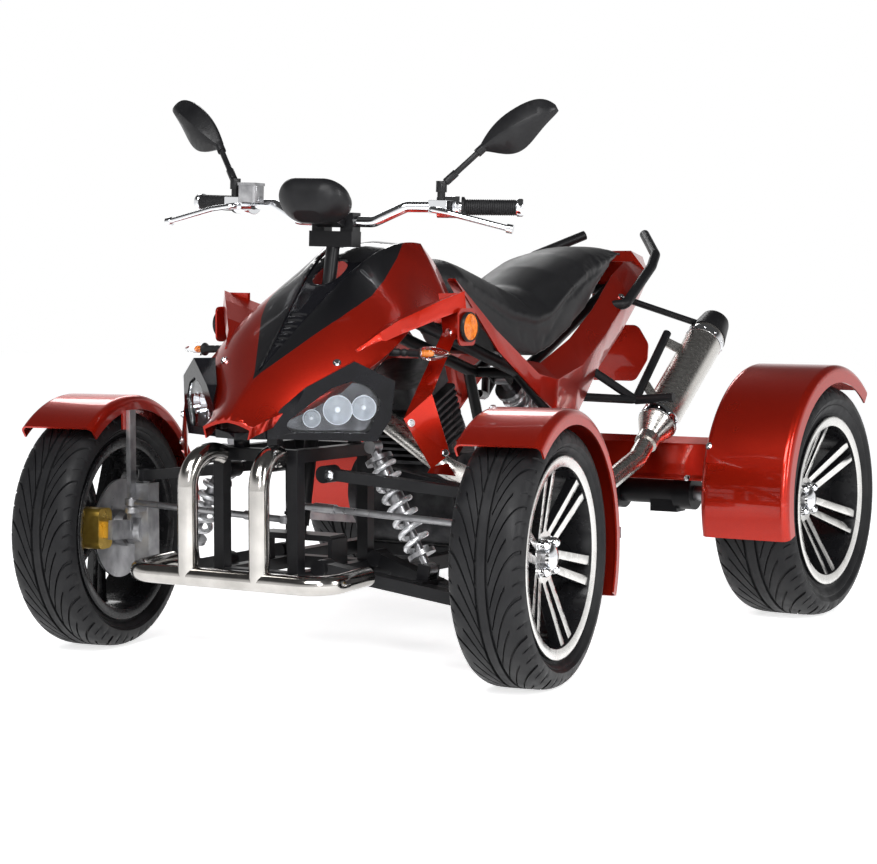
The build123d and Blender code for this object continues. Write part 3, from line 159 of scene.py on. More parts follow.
# Frame: square and round steel tube, cut, welded and powder coated satin black.
# The suspension arms, the swing arm, the peg brackets and the grab rails wear
# the same coat, with a fine orange-peel skin.
NOISE_LOW = 0.3
NOISE_HIGH = 0.7


def new_finish(name, colour, roughness, metallic=0.0, specular=0.5):
    """A material with its shader set to one plain colour and gloss."""
    finish = bpy.data.materials.new(name)
    finish.use_nodes = True
    shader = shader_of(finish)
    shader.inputs["Base Color"].default_value = (*colour, 1)
    shader.inputs["Roughness"].default_value = roughness
    shader.inputs["Metallic"].default_value = metallic
    shader.inputs["Specular IOR Level"].default_value = specular
    return finish


def shader_of(finish):
    """The one shader of a finish."""
    return finish.node_tree.nodes["Principled BSDF"]


def grain(tree, scale, stretch=(1, 1, 1), detail=3.0):
    """Cloudy noise laid in the piece's own space, drawn out along a stretch."""
    place = tree.nodes.new("ShaderNodeTexCoord")
    turn = tree.nodes.new("ShaderNodeMapping")
    turn.inputs["Scale"].default_value = stretch
    noise = tree.nodes.new("ShaderNodeTexNoise")
    noise.inputs["Scale"].default_value = scale
    noise.inputs["Detail"].default_value = detail
    tree.links.new(place.outputs["Object"], turn.inputs["Vector"])
    tree.links.new(turn.outputs["Vector"], noise.inputs["Vector"])
    return noise.outputs["Fac"]


def colour_from(finish, source, stops):
    """Lets a pattern choose the colour along a ramp of (place, colour) stops."""
    tree = finish.node_tree
    ramp = tree.nodes.new("ShaderNodeValToRGB")
    band = ramp.color_ramp
    while len(band.elements) < len(stops):
        band.elements.new(0.5)
    for element, (where, colour) in zip(band.elements, stops):
        element.position = where
        element.color = (*colour, 1)
    tree.links.new(source, ramp.inputs["Fac"])
    tree.links.new(ramp.outputs["Color"], shader_of(finish).inputs["Base Color"])


def mottle(finish, scale, dark, light, *noise):
    """Clouds the colour between a dark and a light shade."""
    source = grain(finish.node_tree, scale, *noise)
    colour_from(finish, source, [(NOISE_LOW, dark), (NOISE_HIGH, light)])


def cloud_gloss(finish, scale, low, high, *noise):
    """Clouds the roughness between two values."""
    tree = finish.node_tree
    span = tree.nodes.new("ShaderNodeMapRange")
    span.inputs["From Min"].default_value = NOISE_LOW
    span.inputs["From Max"].default_value = NOISE_HIGH
    span.inputs["To Min"].default_value = low
    span.inputs["To Max"].default_value = high
    tree.links.new(grain(tree, scale, *noise), span.inputs["Value"])
    tree.links.new(span.outputs["Result"], shader_of(finish).inputs["Roughness"])


def emboss(finish, scale, distance, strength):
    """Raises the surface in a grain by a distance in metres."""
    tree = finish.node_tree
    bump = tree.nodes.new("ShaderNodeBump")
    bump.inputs["Distance"].default_value = distance
    bump.inputs["Strength"].default_value = strength
    tree.links.new(grain(tree, scale), bump.inputs["Height"])
    tree.links.new(bump.outputs["Normal"], shader_of(finish).inputs["Normal"])


def dress(finish, *names):
    """Puts a finish on the frame's own pieces."""
    for name in names:
        for slot in frame["nodes"][name].material_slots:
            slot.material = finish


edges_to_ease = []


def ease_edges(width, *names):
    """Notes pieces whose sharp edges are to be broken by a width."""
    edges_to_ease.extend((width, name) for name in names)


coat = new_finish("satin_black_coat", (0.008, 0.008, 0.009), 0.38, specular=0.16)
mottle(coat, 14.0, (0.006, 0.006, 0.007), (0.012, 0.012, 0.013))
cloud_gloss(coat, 9.0, 0.30, 0.46)
emboss(coat, 900.0, 0.0002, 0.25)
dress(
    coat, "rails", "bulkhead", "spine", "arms", "swing_arm", "grab_rails", "peg_brackets", "steering_column",
)
ease_edges(0.0015, "rails", "bulkhead", "arms")

# Engine: crankcase and covers cast in dark grey alloy, the finned barrel and
# head bolted on, all left as cast with a slight sparkle from the mould.
cast = new_finish("dark_cast_alloy", (0.04, 0.04, 0.042), 0.5, 0.8, 0.3)
mottle(cast, 26.0, (0.020, 0.020, 0.022), (0.065, 0.065, 0.068))
cloud_gloss(cast, 60.0, 0.40, 0.62)
emboss(cast, 420.0, 0.0006, 0.5)
dress(cast, "engine")
ease_edges(0.002, "engine")

# Front uprights: sand cast in silver alloy and left bare. The rider's pegs and the
# brake fluid reservoir are cast the same way.
silver = new_finish("silver_casting", (0.34, 0.34, 0.35), 0.42, 0.9)
mottle(silver, 30.0, (0.22, 0.22, 0.23), (0.44, 0.44, 0.45))
cloud_gloss(silver, 70.0, 0.34, 0.50)
emboss(silver, 500.0, 0.0005, 0.45)
dress(silver, "knuckle_left", "knuckle_right", "reservoir", "rider_pegs")
ease_edges(0.0015, "knuckle_left", "knuckle_right", "reservoir", "rider_pegs")

# Handlebar: steel tube, bent cold, polished and chrome plated, with the levers and
# the housings that clamp to it plated to match.
chrome = new_finish("chrome_plate", (0.74, 0.75, 0.77), 0.06, 1.0)
mottle(chrome, 18.0, (0.68, 0.69, 0.71), (0.78, 0.79, 0.81))
cloud_gloss(chrome, 12.0, 0.04, 0.12)
dress(chrome, "handlebar", "levers", "controls")
ease_edges(0.001, "controls")

# Coil springs: round steel wire wound cold over the damper, ground flat at its
# ends and painted silver white. One stands over each damper.
WIRE_RADIUS = 0.0056
WIRE_SIDES = 10
COIL_CLEAR = 0.0004
COIL_ROLL = (0, 1, 0.3)
COIL_TURNS = 7
COIL_STEPS = 30
SEAT_HIGH = 0.125
SEAT_LOW = 0.86
STRUTS = (
    # top eye, foot eye, coil radius
    ((0.168, -0.590, 0.446), (0.296, -0.590, 0.212), 0.0242),
    ((-0.168, -0.590, 0.446), (-0.296, -0.590, 0.212), 0.0242),
    ((0.0, 0.205, 0.545), (0.0, 0.470, 0.352), 0.0284),
)


def piece(name, form, finish, body, slot, *replaced, crease=35):
    """Makes a finished form an object of the scene that rides on a body."""
    bmesh.ops.recalc_face_normals(form, faces=form.faces[:])
    for face in form.faces:
        face.smooth = True
    for edge in form.edges:
        edge.smooth = len(edge.link_faces) == 2 and edge.calc_face_angle(0.0) < math.radians(crease)
    mesh = bpy.data.meshes.new(name)
    form.to_mesh(mesh)
    form.free()
    mesh.materials.append(finish)
    made = bpy.data.objects.new(name, mesh)
    scene.collection.objects.link(made)
    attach(made, body)
    if replaced:
        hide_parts(*replaced)
    return made


def set_along(place, direction, roll=(0, 0, 1)):
    """The place of a form whose own x axis points along a direction."""
    ahead = Vector(direction).normalized()
    side = Vector(roll).cross(ahead).normalized()
    turn = Matrix((ahead, side, ahead.cross(side))).transposed().to_4x4()
    return Matrix.Translation(place) @ turn


wire = new_finish("spring_silver", (0.80, 0.81, 0.83), 0.24, 0.55)
mottle(wire, 22.0, (0.70, 0.71, 0.73), (0.86, 0.87, 0.89))
cloud_gloss(wire, 45.0, 0.18, 0.32)
coil_form = bmesh.new()
for top, foot, coil_radius in STRUTS:
    high = Vector(top).lerp(Vector(foot), SEAT_HIGH)
    low = Vector(top).lerp(Vector(foot), SEAT_LOW)
    run = low - high
    spare = WIRE_RADIUS + COIL_CLEAR
    rise = run.length - 2 * spare
    steps = COIL_TURNS * COIL_STEPS
    ring = bmesh.ops.create_circle(
        coil_form, segments=WIRE_SIDES, radius=WIRE_RADIUS,
        matrix=Matrix.Translation((spare, 0, coil_radius)) @ Matrix.Rotation(math.pi / 2, 4, "X"),
    )["verts"]
    loop = list({edge for vert in ring for edge in vert.link_edges})
    before = set(coil_form.verts) - set(ring)
    bmesh.ops.spin(
        coil_form, geom=ring + loop, cent=(0, 0, 0), axis=(1, 0, 0), dvec=(rise / steps, 0, 0),
        angle=2 * math.pi * COIL_TURNS, steps=steps,
    )
    fresh = [vert for vert in coil_form.verts if vert not in before]
    ends = [edge for edge in coil_form.edges if edge.is_boundary]
    bmesh.ops.holes_fill(coil_form, edges=ends, sides=WIRE_SIDES + 2)
    bmesh.ops.transform(coil_form, matrix=set_along(high, run, COIL_ROLL), verts=fresh)
piece("coil_springs", coil_form, wire, "chassis", "chrome", "springs", crease=60)

# Tyres: low road tyres of black rubber, moulded with a directional tread. Each
# sweep groove leaves the middle rib and hooks over the shoulder, with a shorter
# branch and two nicks between it and the next.
RIM_RADIUS = 0.194
BEAD_RADIUS = 0.181
BEAD_INSET = 0.016
BEAD_LIP = 0.002
SHOULDER_DROP = 0.034
SHOULDER_POWER = 5
PITCHES = 18
SWEEP = 0.66
TREAD_COLUMNS = (
    # shares of the half width, from the middle rib to the shoulder
    0, 0.10, 0.115, 0.165, 0.18, 0.29, 0.40, 0.50, 0.58, 0.62, 0.70, 0.78, 0.82, 0.88, 0.92, 0.955, 0.985,
    1.0,
)
SIDEWALL = (
    # share of the way down to the rim, how far it is sunk
    (0.16, 0.0004), (0.22, 0.0022), (0.30, 0.0022), (0.36, 0.0003), (0.62, 0.0004), (0.66, 0.0016),
    (0.86, 0.0016), (0.90, 0.0002), (1.0, 0.0),
)
RIB_GROOVE = (0.11, 0.17, 0.0055)
GROOVES = {
    # from this share of the half width, to this share, depth
    "land": (1.0, 0.0, 0.0),
    "sweep": (0.17, 0.94, 0.0055),
    "branch": (0.17, 0.60, 0.0050),
    "nick": (0.80, 0.97, 0.0030),
}
TREAD_ROWS = (
    # share of one pitch, what is cut there
    (0.0, "land"), (0.015, "sweep"), (0.085, "sweep"), (0.10, "land"), (0.23, "land"), (0.345, "land"),
    (0.36, "nick"), (0.385, "nick"), (0.40, "land"), (0.485, "land"), (0.50, "branch"), (0.57, "branch"),
    (0.585, "land"), (0.675, "land"), (0.69, "nick"), (0.715, "nick"), (0.73, "land"), (0.86, "land"),
)


def tread_cut(share, kind):
    """How deep the tread is cut at a share of the half width, in a row of one kind."""
    rib_from, rib_to, rib_depth = RIB_GROOVE
    if rib_from < share < rib_to:
        return rib_depth
    start, end, depth = GROOVES[kind]
    return depth if start <= share <= end else 0.0


def mould_tyre(form, place, width, radius):
    """Spins a tyre's section, twists its rows into the tread's sweep and sinks the grooves."""
    half = width / 2
    seat = half - BEAD_INSET
    wall_top = radius - SHOULDER_DROP
    wall_foot = RIM_RADIUS + BEAD_LIP
    side = []
    for share in TREAD_COLUMNS:
        drop = SHOULDER_DROP * (1 - math.sqrt(1 - share ** SHOULDER_POWER))
        side.append((half * share, radius - drop, share))
    for way, sunk in SIDEWALL:
        side.append((half + (seat - half) * way - sunk, wall_top + (wall_foot - wall_top) * way, 1.0))
    side.append((seat, BEAD_RADIUS, 1.0))
    section = [(-x, reach, share) for x, reach, share in reversed(side[1:])] + side
    before = set(form.verts)
    points = [form.verts.new((x, 0, reach)) for x, reach, _ in section]
    edges = [form.edges.new(pair) for pair in zip(points, points[1:] + points[:1])]
    rings = PITCHES * len(TREAD_ROWS)
    bmesh.ops.spin(
        form, geom=points + edges, cent=(0, 0, 0), axis=(1, 0, 0), angle=2 * math.pi, steps=rings,
        use_merge=True,
    )
    fresh = [vert for vert in form.verts if vert not in before]
    known = {}
    for vert in fresh:
        reach = math.hypot(vert.co.y, vert.co.z)
        key = (round(vert.co.x, 5), round(reach, 5))
        if key not in known:
            known[key] = min(section, key=lambda spot: abs(spot[0] - key[0]) + abs(spot[1] - key[1]))
        x, reach, share = known[key]
        ring = round(math.atan2(-vert.co.y, vert.co.z) / (2 * math.pi) * rings) % rings
        row, kind = TREAD_ROWS[ring % len(TREAD_ROWS)]
        angle = (ring // len(TREAD_ROWS) + row) / PITCHES * 2 * math.pi + SWEEP * (1 - share) ** 2
        reach -= tread_cut(share, kind)
        vert.co = (x, -reach * math.sin(angle), reach * math.cos(angle))
    bmesh.ops.transform(form, matrix=place, verts=fresh)


joints = {joint["name"]: joint for joint in frame["record"]["behaviour"]["joints"]}


def wheel_place(joint, across=0.0):
    """The place of a wheel on its joint, its own x axis along the axle, some way across."""
    axle = Vector(joints[joint]["axis"])
    return set_along(Vector(joints[joint]["pos_m"]) + axle * across, axle)


rubber = new_finish("tyre_rubber", (0.010, 0.010, 0.011), 0.55, specular=0.22)
mottle(rubber, 20.0, (0.007, 0.007, 0.008), (0.014, 0.014, 0.015))
cloud_gloss(rubber, 35.0, 0.42, 0.62)
emboss(rubber, 600.0, 0.0003, 0.3)

FRONT_TYRE = (0.148, 0.250)
REAR_TYRE = (0.195, 0.267)
REAR_WHEEL_X = 0.560
for end in ("front_left", "front_right"):
    tyre_form = bmesh.new()
    mould_tyre(tyre_form, wheel_place("spin_" + end), *FRONT_TYRE)
    piece("road_tyre_" + end, tyre_form, rubber, "wheel_" + end, "tyre", "tyre_" + end)
rear_tyre_form = bmesh.new()
for across in (-REAR_WHEEL_X, REAR_WHEEL_X):
    mould_tyre(rear_tyre_form, wheel_place("spin_rear", across), *REAR_TYRE)
piece("road_tyres_rear", rear_tyre_form, rubber, "rear_axle", "tyre", "tyres_rear")

# Rims: cast alloy, dipped black all over, then the faces of the spokes and the
# lip turned bright on a lathe. Chrome nuts and a domed cap stand at the middle.
FRONT_FACE = 0.029
REAR_FACE = 0.0235
RIM_BLACK = (0.008, 0.008, 0.009)
RIM_BRIGHT = (0.66, 0.65, 0.63)
BRIGHT_FROM = 0.80
BRIGHT_FULL = 0.86
CAP_PROFILE = (
    # out from the wheel's face, radius
    (0.010, 0.0), (0.010, 0.0245), (0.017, 0.0245), (0.021, 0.020), (0.024, 0.012), (0.025, 0.0),
)
NUTS = 4
NUT_CIRCLE = 0.036
NUT_RADIUS = 0.0098
NUT_PROFILE = (
    # out from the wheel's face, share of the nut's radius
    (0.0005, 0.0), (0.0005, 1.25), (0.003, 1.25), (0.003, 1.04), (0.0135, 1.04), (0.016, 0.86),
    (0.020, 0.52), (0.0215, 0.0),
)


def rim_finish(name, axle, pair=False):
    """Black dip with bright metal wherever the surface looks out along the axle."""
    finish = new_finish(name, RIM_BLACK, 0.3, specular=0.3)
    tree = finish.node_tree
    place = tree.nodes.new("ShaderNodeTexCoord")
    facing = tree.nodes.new("ShaderNodeVectorMath")
    facing.operation = "DOT_PRODUCT"
    facing.inputs[1].default_value = axle
    tree.links.new(place.outputs["Normal"], facing.inputs[0])
    outward = facing.outputs["Value"]
    if pair:
        apart = tree.nodes.new("ShaderNodeSeparateXYZ")
        hand = tree.nodes.new("ShaderNodeMath")
        hand.operation = "SIGN"
        turned = tree.nodes.new("ShaderNodeMath")
        turned.operation = "MULTIPLY"
        tree.links.new(place.outputs["Object"], apart.inputs[0])
        tree.links.new(apart.outputs["X"], hand.inputs[0])
        tree.links.new(outward, turned.inputs[0])
        tree.links.new(hand.outputs[0], turned.inputs[1])
        outward = turned.outputs[0]
    cut = tree.nodes.new("ShaderNodeMapRange")
    cut.inputs["From Min"].default_value = BRIGHT_FROM
    cut.inputs["From Max"].default_value = BRIGHT_FULL
    tree.links.new(outward, cut.inputs["Value"])
    colour_from(finish, cut.outputs["Result"], [(0.0, RIM_BLACK), (1.0, RIM_BRIGHT)])
    tree.links.new(cut.outputs["Result"], shader_of(finish).inputs["Metallic"])
    cloud_gloss(finish, 40.0, 0.20, 0.34)
    return finish


for end, hand in (("front_left", 1), ("front_right", -1)):
    axle = Vector(joints["spin_" + end]["axis"]) * hand
    dress(rim_finish("machined_rim_" + end, axle), "rim_" + end)
dress(rim_finish("machined_rims_rear", (1, 0, 0), pair=True), "rims_rear")
ease_edges(0.0012, "rim_front_left", "rim_front_right", "rims_rear")


def spun(form, profile, place, steps=24):
    """Spins a profile of (along, radius) points into a closed round form at a place."""
    before = set(form.verts)
    points = [form.verts.new((along, 0, radius)) for along, radius in profile]
    edges = [form.edges.new(pair) for pair in zip(points, points[1:])]
    bmesh.ops.spin(
        form, geom=points + edges, cent=(0, 0, 0), axis=(1, 0, 0), angle=2 * math.pi, steps=steps,
        use_merge=True,
    )
    fresh = [vert for vert in form.verts if vert not in before]
    bmesh.ops.remove_doubles(form, verts=fresh, dist=0.000001)
    fresh = [vert for vert in form.verts if vert not in before]
    bmesh.ops.transform(form, matrix=place, verts=fresh)


def wheel_chrome(form, place, hand, face):
    """The domed cap and the four capped nuts on a wheel's outer face."""
    out = place @ Matrix.Diagonal((hand, 1, 1, 1))
    spun(form, [(face + along, radius) for along, radius in CAP_PROFILE], out, 32)
    for count in range(NUTS):
        angle = 2 * math.pi * (count + 0.5) / NUTS
        spot = out @ Matrix.Translation((0, NUT_CIRCLE * math.cos(angle), NUT_CIRCLE * math.sin(angle)))
        spun(form, [(face + along, NUT_RADIUS * share) for along, share in NUT_PROFILE], spot, 12)


for end, hand in (("front_left", 1), ("front_right", -1)):
    cap_form = bmesh.new()
    wheel_chrome(cap_form, wheel_place("spin_" + end), hand, FRONT_FACE)
    piece("wheel_nuts_" + end, cap_form, chrome, "wheel_" + end, "chrome")
rear_cap_form = bmesh.new()
for hand in (1, -1):
    wheel_chrome(rear_cap_form, wheel_place("spin_rear", hand * REAR_WHEEL_X), hand, REAR_FACE)
piece("wheel_nuts_rear", rear_cap_form, chrome, "rear_axle", "chrome")

# Axle, hubs and rods: the rear axle, the hubs with their brake discs and the tie
# rods are turned from steel bar, as are the bodies of the dampers.
axle_steel = new_finish("axle_steel", (0.30, 0.30, 0.31), 0.34, 0.9)
mottle(axle_steel, 24.0, (0.20, 0.20, 0.21), (0.36, 0.36, 0.37))
cloud_gloss(axle_steel, 30.0, 0.26, 0.42, (8, 1, 1))
dress(
    axle_steel, "rear_axle", "hub_front_left", "hub_front_right", "dampers", "tie_rod_left", "tie_rod_right",
)
ease_edges(0.001, "hub_front_left", "hub_front_right")

# Front calipers: two-piston housings cast in alloy and gold anodised, bolted to
# the lugs of each upright.
gold = new_finish("gold_anodised", (0.55, 0.36, 0.07), 0.32, 0.9)
mottle(gold, 40.0, (0.46, 0.29, 0.05), (0.62, 0.42, 0.09))
cloud_gloss(gold, 50.0, 0.26, 0.40)
dress(gold, "caliper_left", "caliper_right")
ease_edges(0.002, "caliper_left", "caliper_right")

# Bumper: thick stainless tube, bent, sleeved at the bends, welded to a bowed
# base tube and polished along its length. Its colour is partly the steel's own tint
# and partly darkened and browned as a painted reflection of dark surroundings.
# The darker brown base colour and its mottled shades are partly painted reflection of dark surroundings.
polish_painted_dark_reflection = new_finish("polished_tube_painted_dark_reflection", (0.46, 0.44, 0.41), 0.14, 1.0)
mottle(polish_painted_dark_reflection, 16.0, (0.38, 0.365, 0.345), (0.52, 0.50, 0.475))
cloud_gloss(polish_painted_dark_reflection, 60.0, 0.10, 0.20, (1, 1, 0.2))
dress(polish_painted_dark_reflection, "bumper")

# Exhaust: a bent stainless pipe and a rolled can, brushed along its length and
# held by two riveted bands, with a black cap pressed on its end.
CAN_LOW = Vector((0.250, 0.452, 0.406))
CAN_HIGH = Vector((0.250, 0.762, 0.634))
CAN_RADIUS = 0.046
BAND = 0.010
BAND_SHARES = (0.155, 0.955)
BAND_PROFILE = (
    # share of the band's half width, height above the can
    (-1, -0.002), (-1, 0.0008), (-0.8, 0.0014), (0.8, 0.0014), (1, 0.0008), (1, -0.002), (-1, -0.002),
)
RIVETS = 10
RIVET_PROFILE = (
    # height above the can, radius
    (0.0, 0.0), (0.0, 0.003), (0.0022, 0.003), (0.0034, 0.0018), (0.0038, 0.0),
)
steel = new_finish("brushed_stainless", (0.64, 0.62, 0.59), 0.3, 1.0)
cloud_gloss(steel, 36.0, 0.20, 0.36, (1, 6, 6))
mottle(steel, 60.0, (0.58, 0.56, 0.53), (0.70, 0.68, 0.65), (1, 6, 6))
dress(steel, "exhaust")
band_form = bmesh.new()
can_run = CAN_HIGH - CAN_LOW
for share in BAND_SHARES:
    seat = set_along(CAN_LOW.lerp(CAN_HIGH, share), can_run, (1, 0, 0))
    spun(band_form, [(BAND * side, CAN_RADIUS + height) for side, height in BAND_PROFILE], seat, 56)
    for count in range(RIVETS):
        turn = Matrix.Rotation(2 * math.pi * count / RIVETS, 4, "X") @ Matrix.Rotation(math.pi / 2, 4, "Y")
        spun(band_form, [(CAN_RADIUS + height, radius) for height, radius in RIVET_PROFILE], seat @ turn, 10)
piece("silencer_bands", band_form, chrome, "chassis", "steel")

# Black mouldings: the silencer's cap, the pod's bowl and the mirror shells are
# moulded in black plastic with a fine spark-eroded skin.
mould = new_finish("moulded_black", (0.010, 0.010, 0.011), 0.42, specular=0.22)
mottle(mould, 20.0, (0.007, 0.007, 0.008), (0.014, 0.014, 0.015))
cloud_gloss(mould, 18.0, 0.30, 0.46)
emboss(mould, 700.0, 0.0002, 0.3)
dress(mould, "silencer_cap", "instrument_pod", "mirrors")
ease_edges(0.002, "silencer_cap", "instrument_pod")
ease_edges(0.004, "mirrors")

# Handlebar ends: ribbed rubber grips pushed over the bar against a flange, each
# closed by a chrome end weight.
REST_TURN = math.radians(8.5)
GRIP_IN = Vector((0.255, -0.421, 0.926))
GRIP_END = Vector((0.367, -0.381, 0.928))
GRIP_RADIUS = 0.016
GRIP_END_SHARE = 0.92
GRIP_FLANGE = 0.005
FLANGE_FOOT = 0.008
GRIP_RIBS = 22
RIBS_FROM = 0.010
RIBS_TO_SHARE = 0.90
RIB_DEPTH = 0.0011
WEIGHT_PROFILE = (
    # share of the grip's length, radius
    (0.925, 0.0), (0.925, 0.0165), (0.94, 0.018), (1.02, 0.018), (1.04, 0.0165), (1.04, 0.0),
)
column = joints["steer"]
to_column = Matrix.Translation(column["pos_m"])
steer_turn = to_column @ Matrix.Rotation(REST_TURN, 4, column["axis"]) @ to_column.inverted()


def both_sides(form):
    """Adds a form's mirror image across the middle of the machine."""
    copy = bmesh.ops.duplicate(form, geom=form.verts[:] + form.edges[:] + form.faces[:])
    fresh = [item for item in copy["geom"] if isinstance(item, bmesh.types.BMVert)]
    bmesh.ops.scale(form, vec=(-1, 1, 1), verts=fresh)


def steered(form):
    """Mirrors a form made for the left of a straight bar and turns it with the bar."""
    both_sides(form)
    bmesh.ops.transform(form, matrix=steer_turn, verts=form.verts[:])


grip_run = GRIP_END - GRIP_IN
grip_seat = set_along(GRIP_IN, grip_run)
grip_length = grip_run.length
flange_radius = GRIP_RADIUS + GRIP_FLANGE
rib_profile = [(0.0, 0.0), (0.0, flange_radius), (GRIP_FLANGE, flange_radius), (FLANGE_FOOT, GRIP_RADIUS)]
rib = (grip_length * RIBS_TO_SHARE - RIBS_FROM) / GRIP_RIBS
for count in range(GRIP_RIBS):
    start = RIBS_FROM + rib * count
    rib_profile += [
        (start, GRIP_RADIUS - RIB_DEPTH), (start + rib * 0.2, GRIP_RADIUS),
        (start + rib * 0.7, GRIP_RADIUS), (start + rib * 0.9, GRIP_RADIUS - RIB_DEPTH),
    ]
rib_profile += [(grip_length * GRIP_END_SHARE, GRIP_RADIUS), (grip_length * GRIP_END_SHARE, 0.0)]
grip_form = bmesh.new()
spun(grip_form, rib_profile, grip_seat, 28)
steered(grip_form)
piece("ribbed_grips", grip_form, rubber, "steering", "rubber", "grips", crease=25)
weight_form = bmesh.new()
spun(weight_form, [(grip_length * share, radius) for share, radius in WEIGHT_PROFILE], grip_seat, 32)
steered(weight_form)
piece("bar_end_weights", weight_form, chrome, "steering", "chrome")

# Mirrors: black moulded shells on jointed stalks, with a flat silvered glass let
# into the side that looks back at the rider.
STALK_TOP = Vector((0.301, -0.424, 1.046))
MIRROR_TIP = Vector((0.437, -0.380, 1.125))
GLASS_LOOK = Vector((-0.305, 0.948, -0.003))
GLASS_SET = 0.0052
GLASS_EDGE = 0.88
GLASS_CORNER = 0.006
GLASS_THICK = 0.0008
LEAF = (
    # share of the reach, width above the crease, width below it
    (0.06, 0.014, 0.015), (0.16, 0.025, 0.028), (0.38, 0.037, 0.041), (0.70, 0.040, 0.024),
    (0.90, 0.029, 0.012), (0.97, 0.017, 0.008),
)
leaf_axis = (MIRROR_TIP - STALK_TOP).normalized()
leaf_up = leaf_axis.cross(GLASS_LOOK).normalized()
leaf_back = leaf_up.cross(leaf_axis).normalized()
glass_form = bmesh.new()
upper, lower = [], []
for share, above, below in LEAF:
    middle = STALK_TOP.lerp(MIRROR_TIP, share) + leaf_back * GLASS_SET
    upper.append(glass_form.verts.new(middle + leaf_up * above * GLASS_EDGE))
    lower.append(glass_form.verts.new(middle - leaf_up * below * GLASS_EDGE))
glass_form.faces.new(upper + lower[::-1])
bmesh.ops.bevel(
    glass_form, geom=glass_form.verts[:], offset=GLASS_CORNER, affect="VERTICES", segments=3, profile=0.5,
    material=-1,
)
bmesh.ops.solidify(glass_form, geom=glass_form.faces[:], thickness=GLASS_THICK)
steered(glass_form)
silvered = new_finish("silvered_glass", (0.82, 0.84, 0.86), 0.02, 1.0)
mottle(silvered, 6.0, (0.78, 0.80, 0.82), (0.84, 0.86, 0.88))
cloud_gloss(silvered, 9.0, 0.015, 0.03)
piece("mirror_glass", glass_form, silvered, "steering", "chrome")

# Instrument pod: a black bowl with one dial under a raised oval bezel, its marks
# and needle printed in white.
POD_CENTRE = Vector((0, -0.561, 0.941))
POD_LOOK = Vector((0, 0.68, 0.73)).normalized()
DIAL_HALF = (0.062, 0.038)
DIAL_STEPS = (
    # how far in, how far up
    (0.0012, 0.0035), (0.003, 0.0), (0.002, -0.003),
)
TICKS = 25
TICK_CIRCLE = 0.029
TICK_RISE = 0.0014
TICK_LONG = 0.006
TICK_SHORT = 0.0035
TICK_WIDE = 0.0009
TICK_THICK = 0.0004
LONG_EVERY = 4
NEEDLE_LONG = 0.030
NEEDLE_OUT = 0.010
NEEDLE_RISE = 0.0022
NEEDLE_SHARE = 0.42
TICK_SWEEP = math.radians(250)


def step_in(form, steps):
    """Insets a form's largest face over and over, by how far in and how far up each time."""
    for thickness, depth in steps:
        largest = max(form.faces, key=lambda face: face.calc_area())
        bmesh.ops.inset_region(
            form, faces=[largest], thickness=thickness, depth=depth, use_even_offset=True,
        )


pod_seat = set_along(POD_CENTRE, POD_LOOK, (1, 0, 0)) @ Matrix.Rotation(math.pi / 2, 4, "Y")
dial_form = bmesh.new()
oval = bmesh.ops.create_circle(dial_form, segments=56, radius=1.0, cap_ends=True)["verts"]
bmesh.ops.scale(dial_form, vec=(DIAL_HALF[0], DIAL_HALF[1], 1), verts=oval)
step_in(dial_form, DIAL_STEPS)
bmesh.ops.transform(dial_form, matrix=pod_seat, verts=dial_form.verts[:])
bmesh.ops.transform(dial_form, matrix=steer_turn, verts=dial_form.verts[:])
gloss = new_finish("gloss_black", (0.005, 0.005, 0.006), 0.10, specular=0.25)
mottle(gloss, 30.0, (0.004, 0.004, 0.005), (0.007, 0.007, 0.009))
cloud_gloss(gloss, 7.0, 0.06, 0.16)
piece("pod_dial", dial_form, gloss, "steering", "gloss_black")
mark_form = bmesh.new()
for count in range(TICKS):
    angle = TICK_SWEEP * (count / (TICKS - 1) - 0.5)
    tall = TICK_SHORT if count % LONG_EVERY else TICK_LONG
    turn = Matrix.Rotation(angle + math.pi / 2, 4, "Z")
    spot = pod_seat @ turn @ Matrix.Translation((TICK_CIRCLE, 0, TICK_RISE))
    shape = Matrix.Diagonal((tall, TICK_WIDE, TICK_THICK, 1))
    bmesh.ops.create_cube(mark_form, size=1.0, matrix=spot @ shape)
needle_turn = Matrix.Rotation(-TICK_SWEEP * NEEDLE_SHARE, 4, "Z")
needle = pod_seat @ needle_turn @ Matrix.Translation((NEEDLE_OUT, 0, NEEDLE_RISE))
bmesh.ops.create_cone(
    mark_form, cap_ends=True, segments=8, radius1=0.0011, radius2=0.0004, depth=NEEDLE_LONG,
    matrix=needle @ Matrix.Rotation(math.pi / 2, 4, "Y"),
)
bmesh.ops.transform(mark_form, matrix=steer_turn, verts=mark_form.verts[:])
mark = new_finish("dial_white", (0.80, 0.80, 0.78), 0.5)
mottle(mark, 90.0, (0.74, 0.74, 0.72), (0.84, 0.84, 0.82))
piece("pod_marks", mark_form, mark, "steering", "gloss_black")

# Bodywork: moulded panels in a deep candy red, a silver flake under a tinted
# coat and clear lacquer, bolted to the frame.
RED_DEEP = (0.30, 0.006, 0.002)
RED_FLAKE = (0.50, 0.020, 0.004)
RED_METAL = 0.75
FLAKE_SCALE = 1800.0
PANEL_BLACK = (0.005, 0.005, 0.006)
PANEL_FROM = -0.760
PANEL_LONG = 0.440
PANEL_WIDE = 0.150
PANEL_BLUR = 0.0006
PANEL_EDGE = (
    # place along the cowl, half width of the black panel there
    (-0.760, 0.000), (-0.741, 0.009), (-0.673, 0.051), (-0.600, 0.096), (-0.562, 0.113), (-0.527, 0.123),
    (-0.477, 0.119), (-0.402, 0.102), (-0.330, 0.080),
)


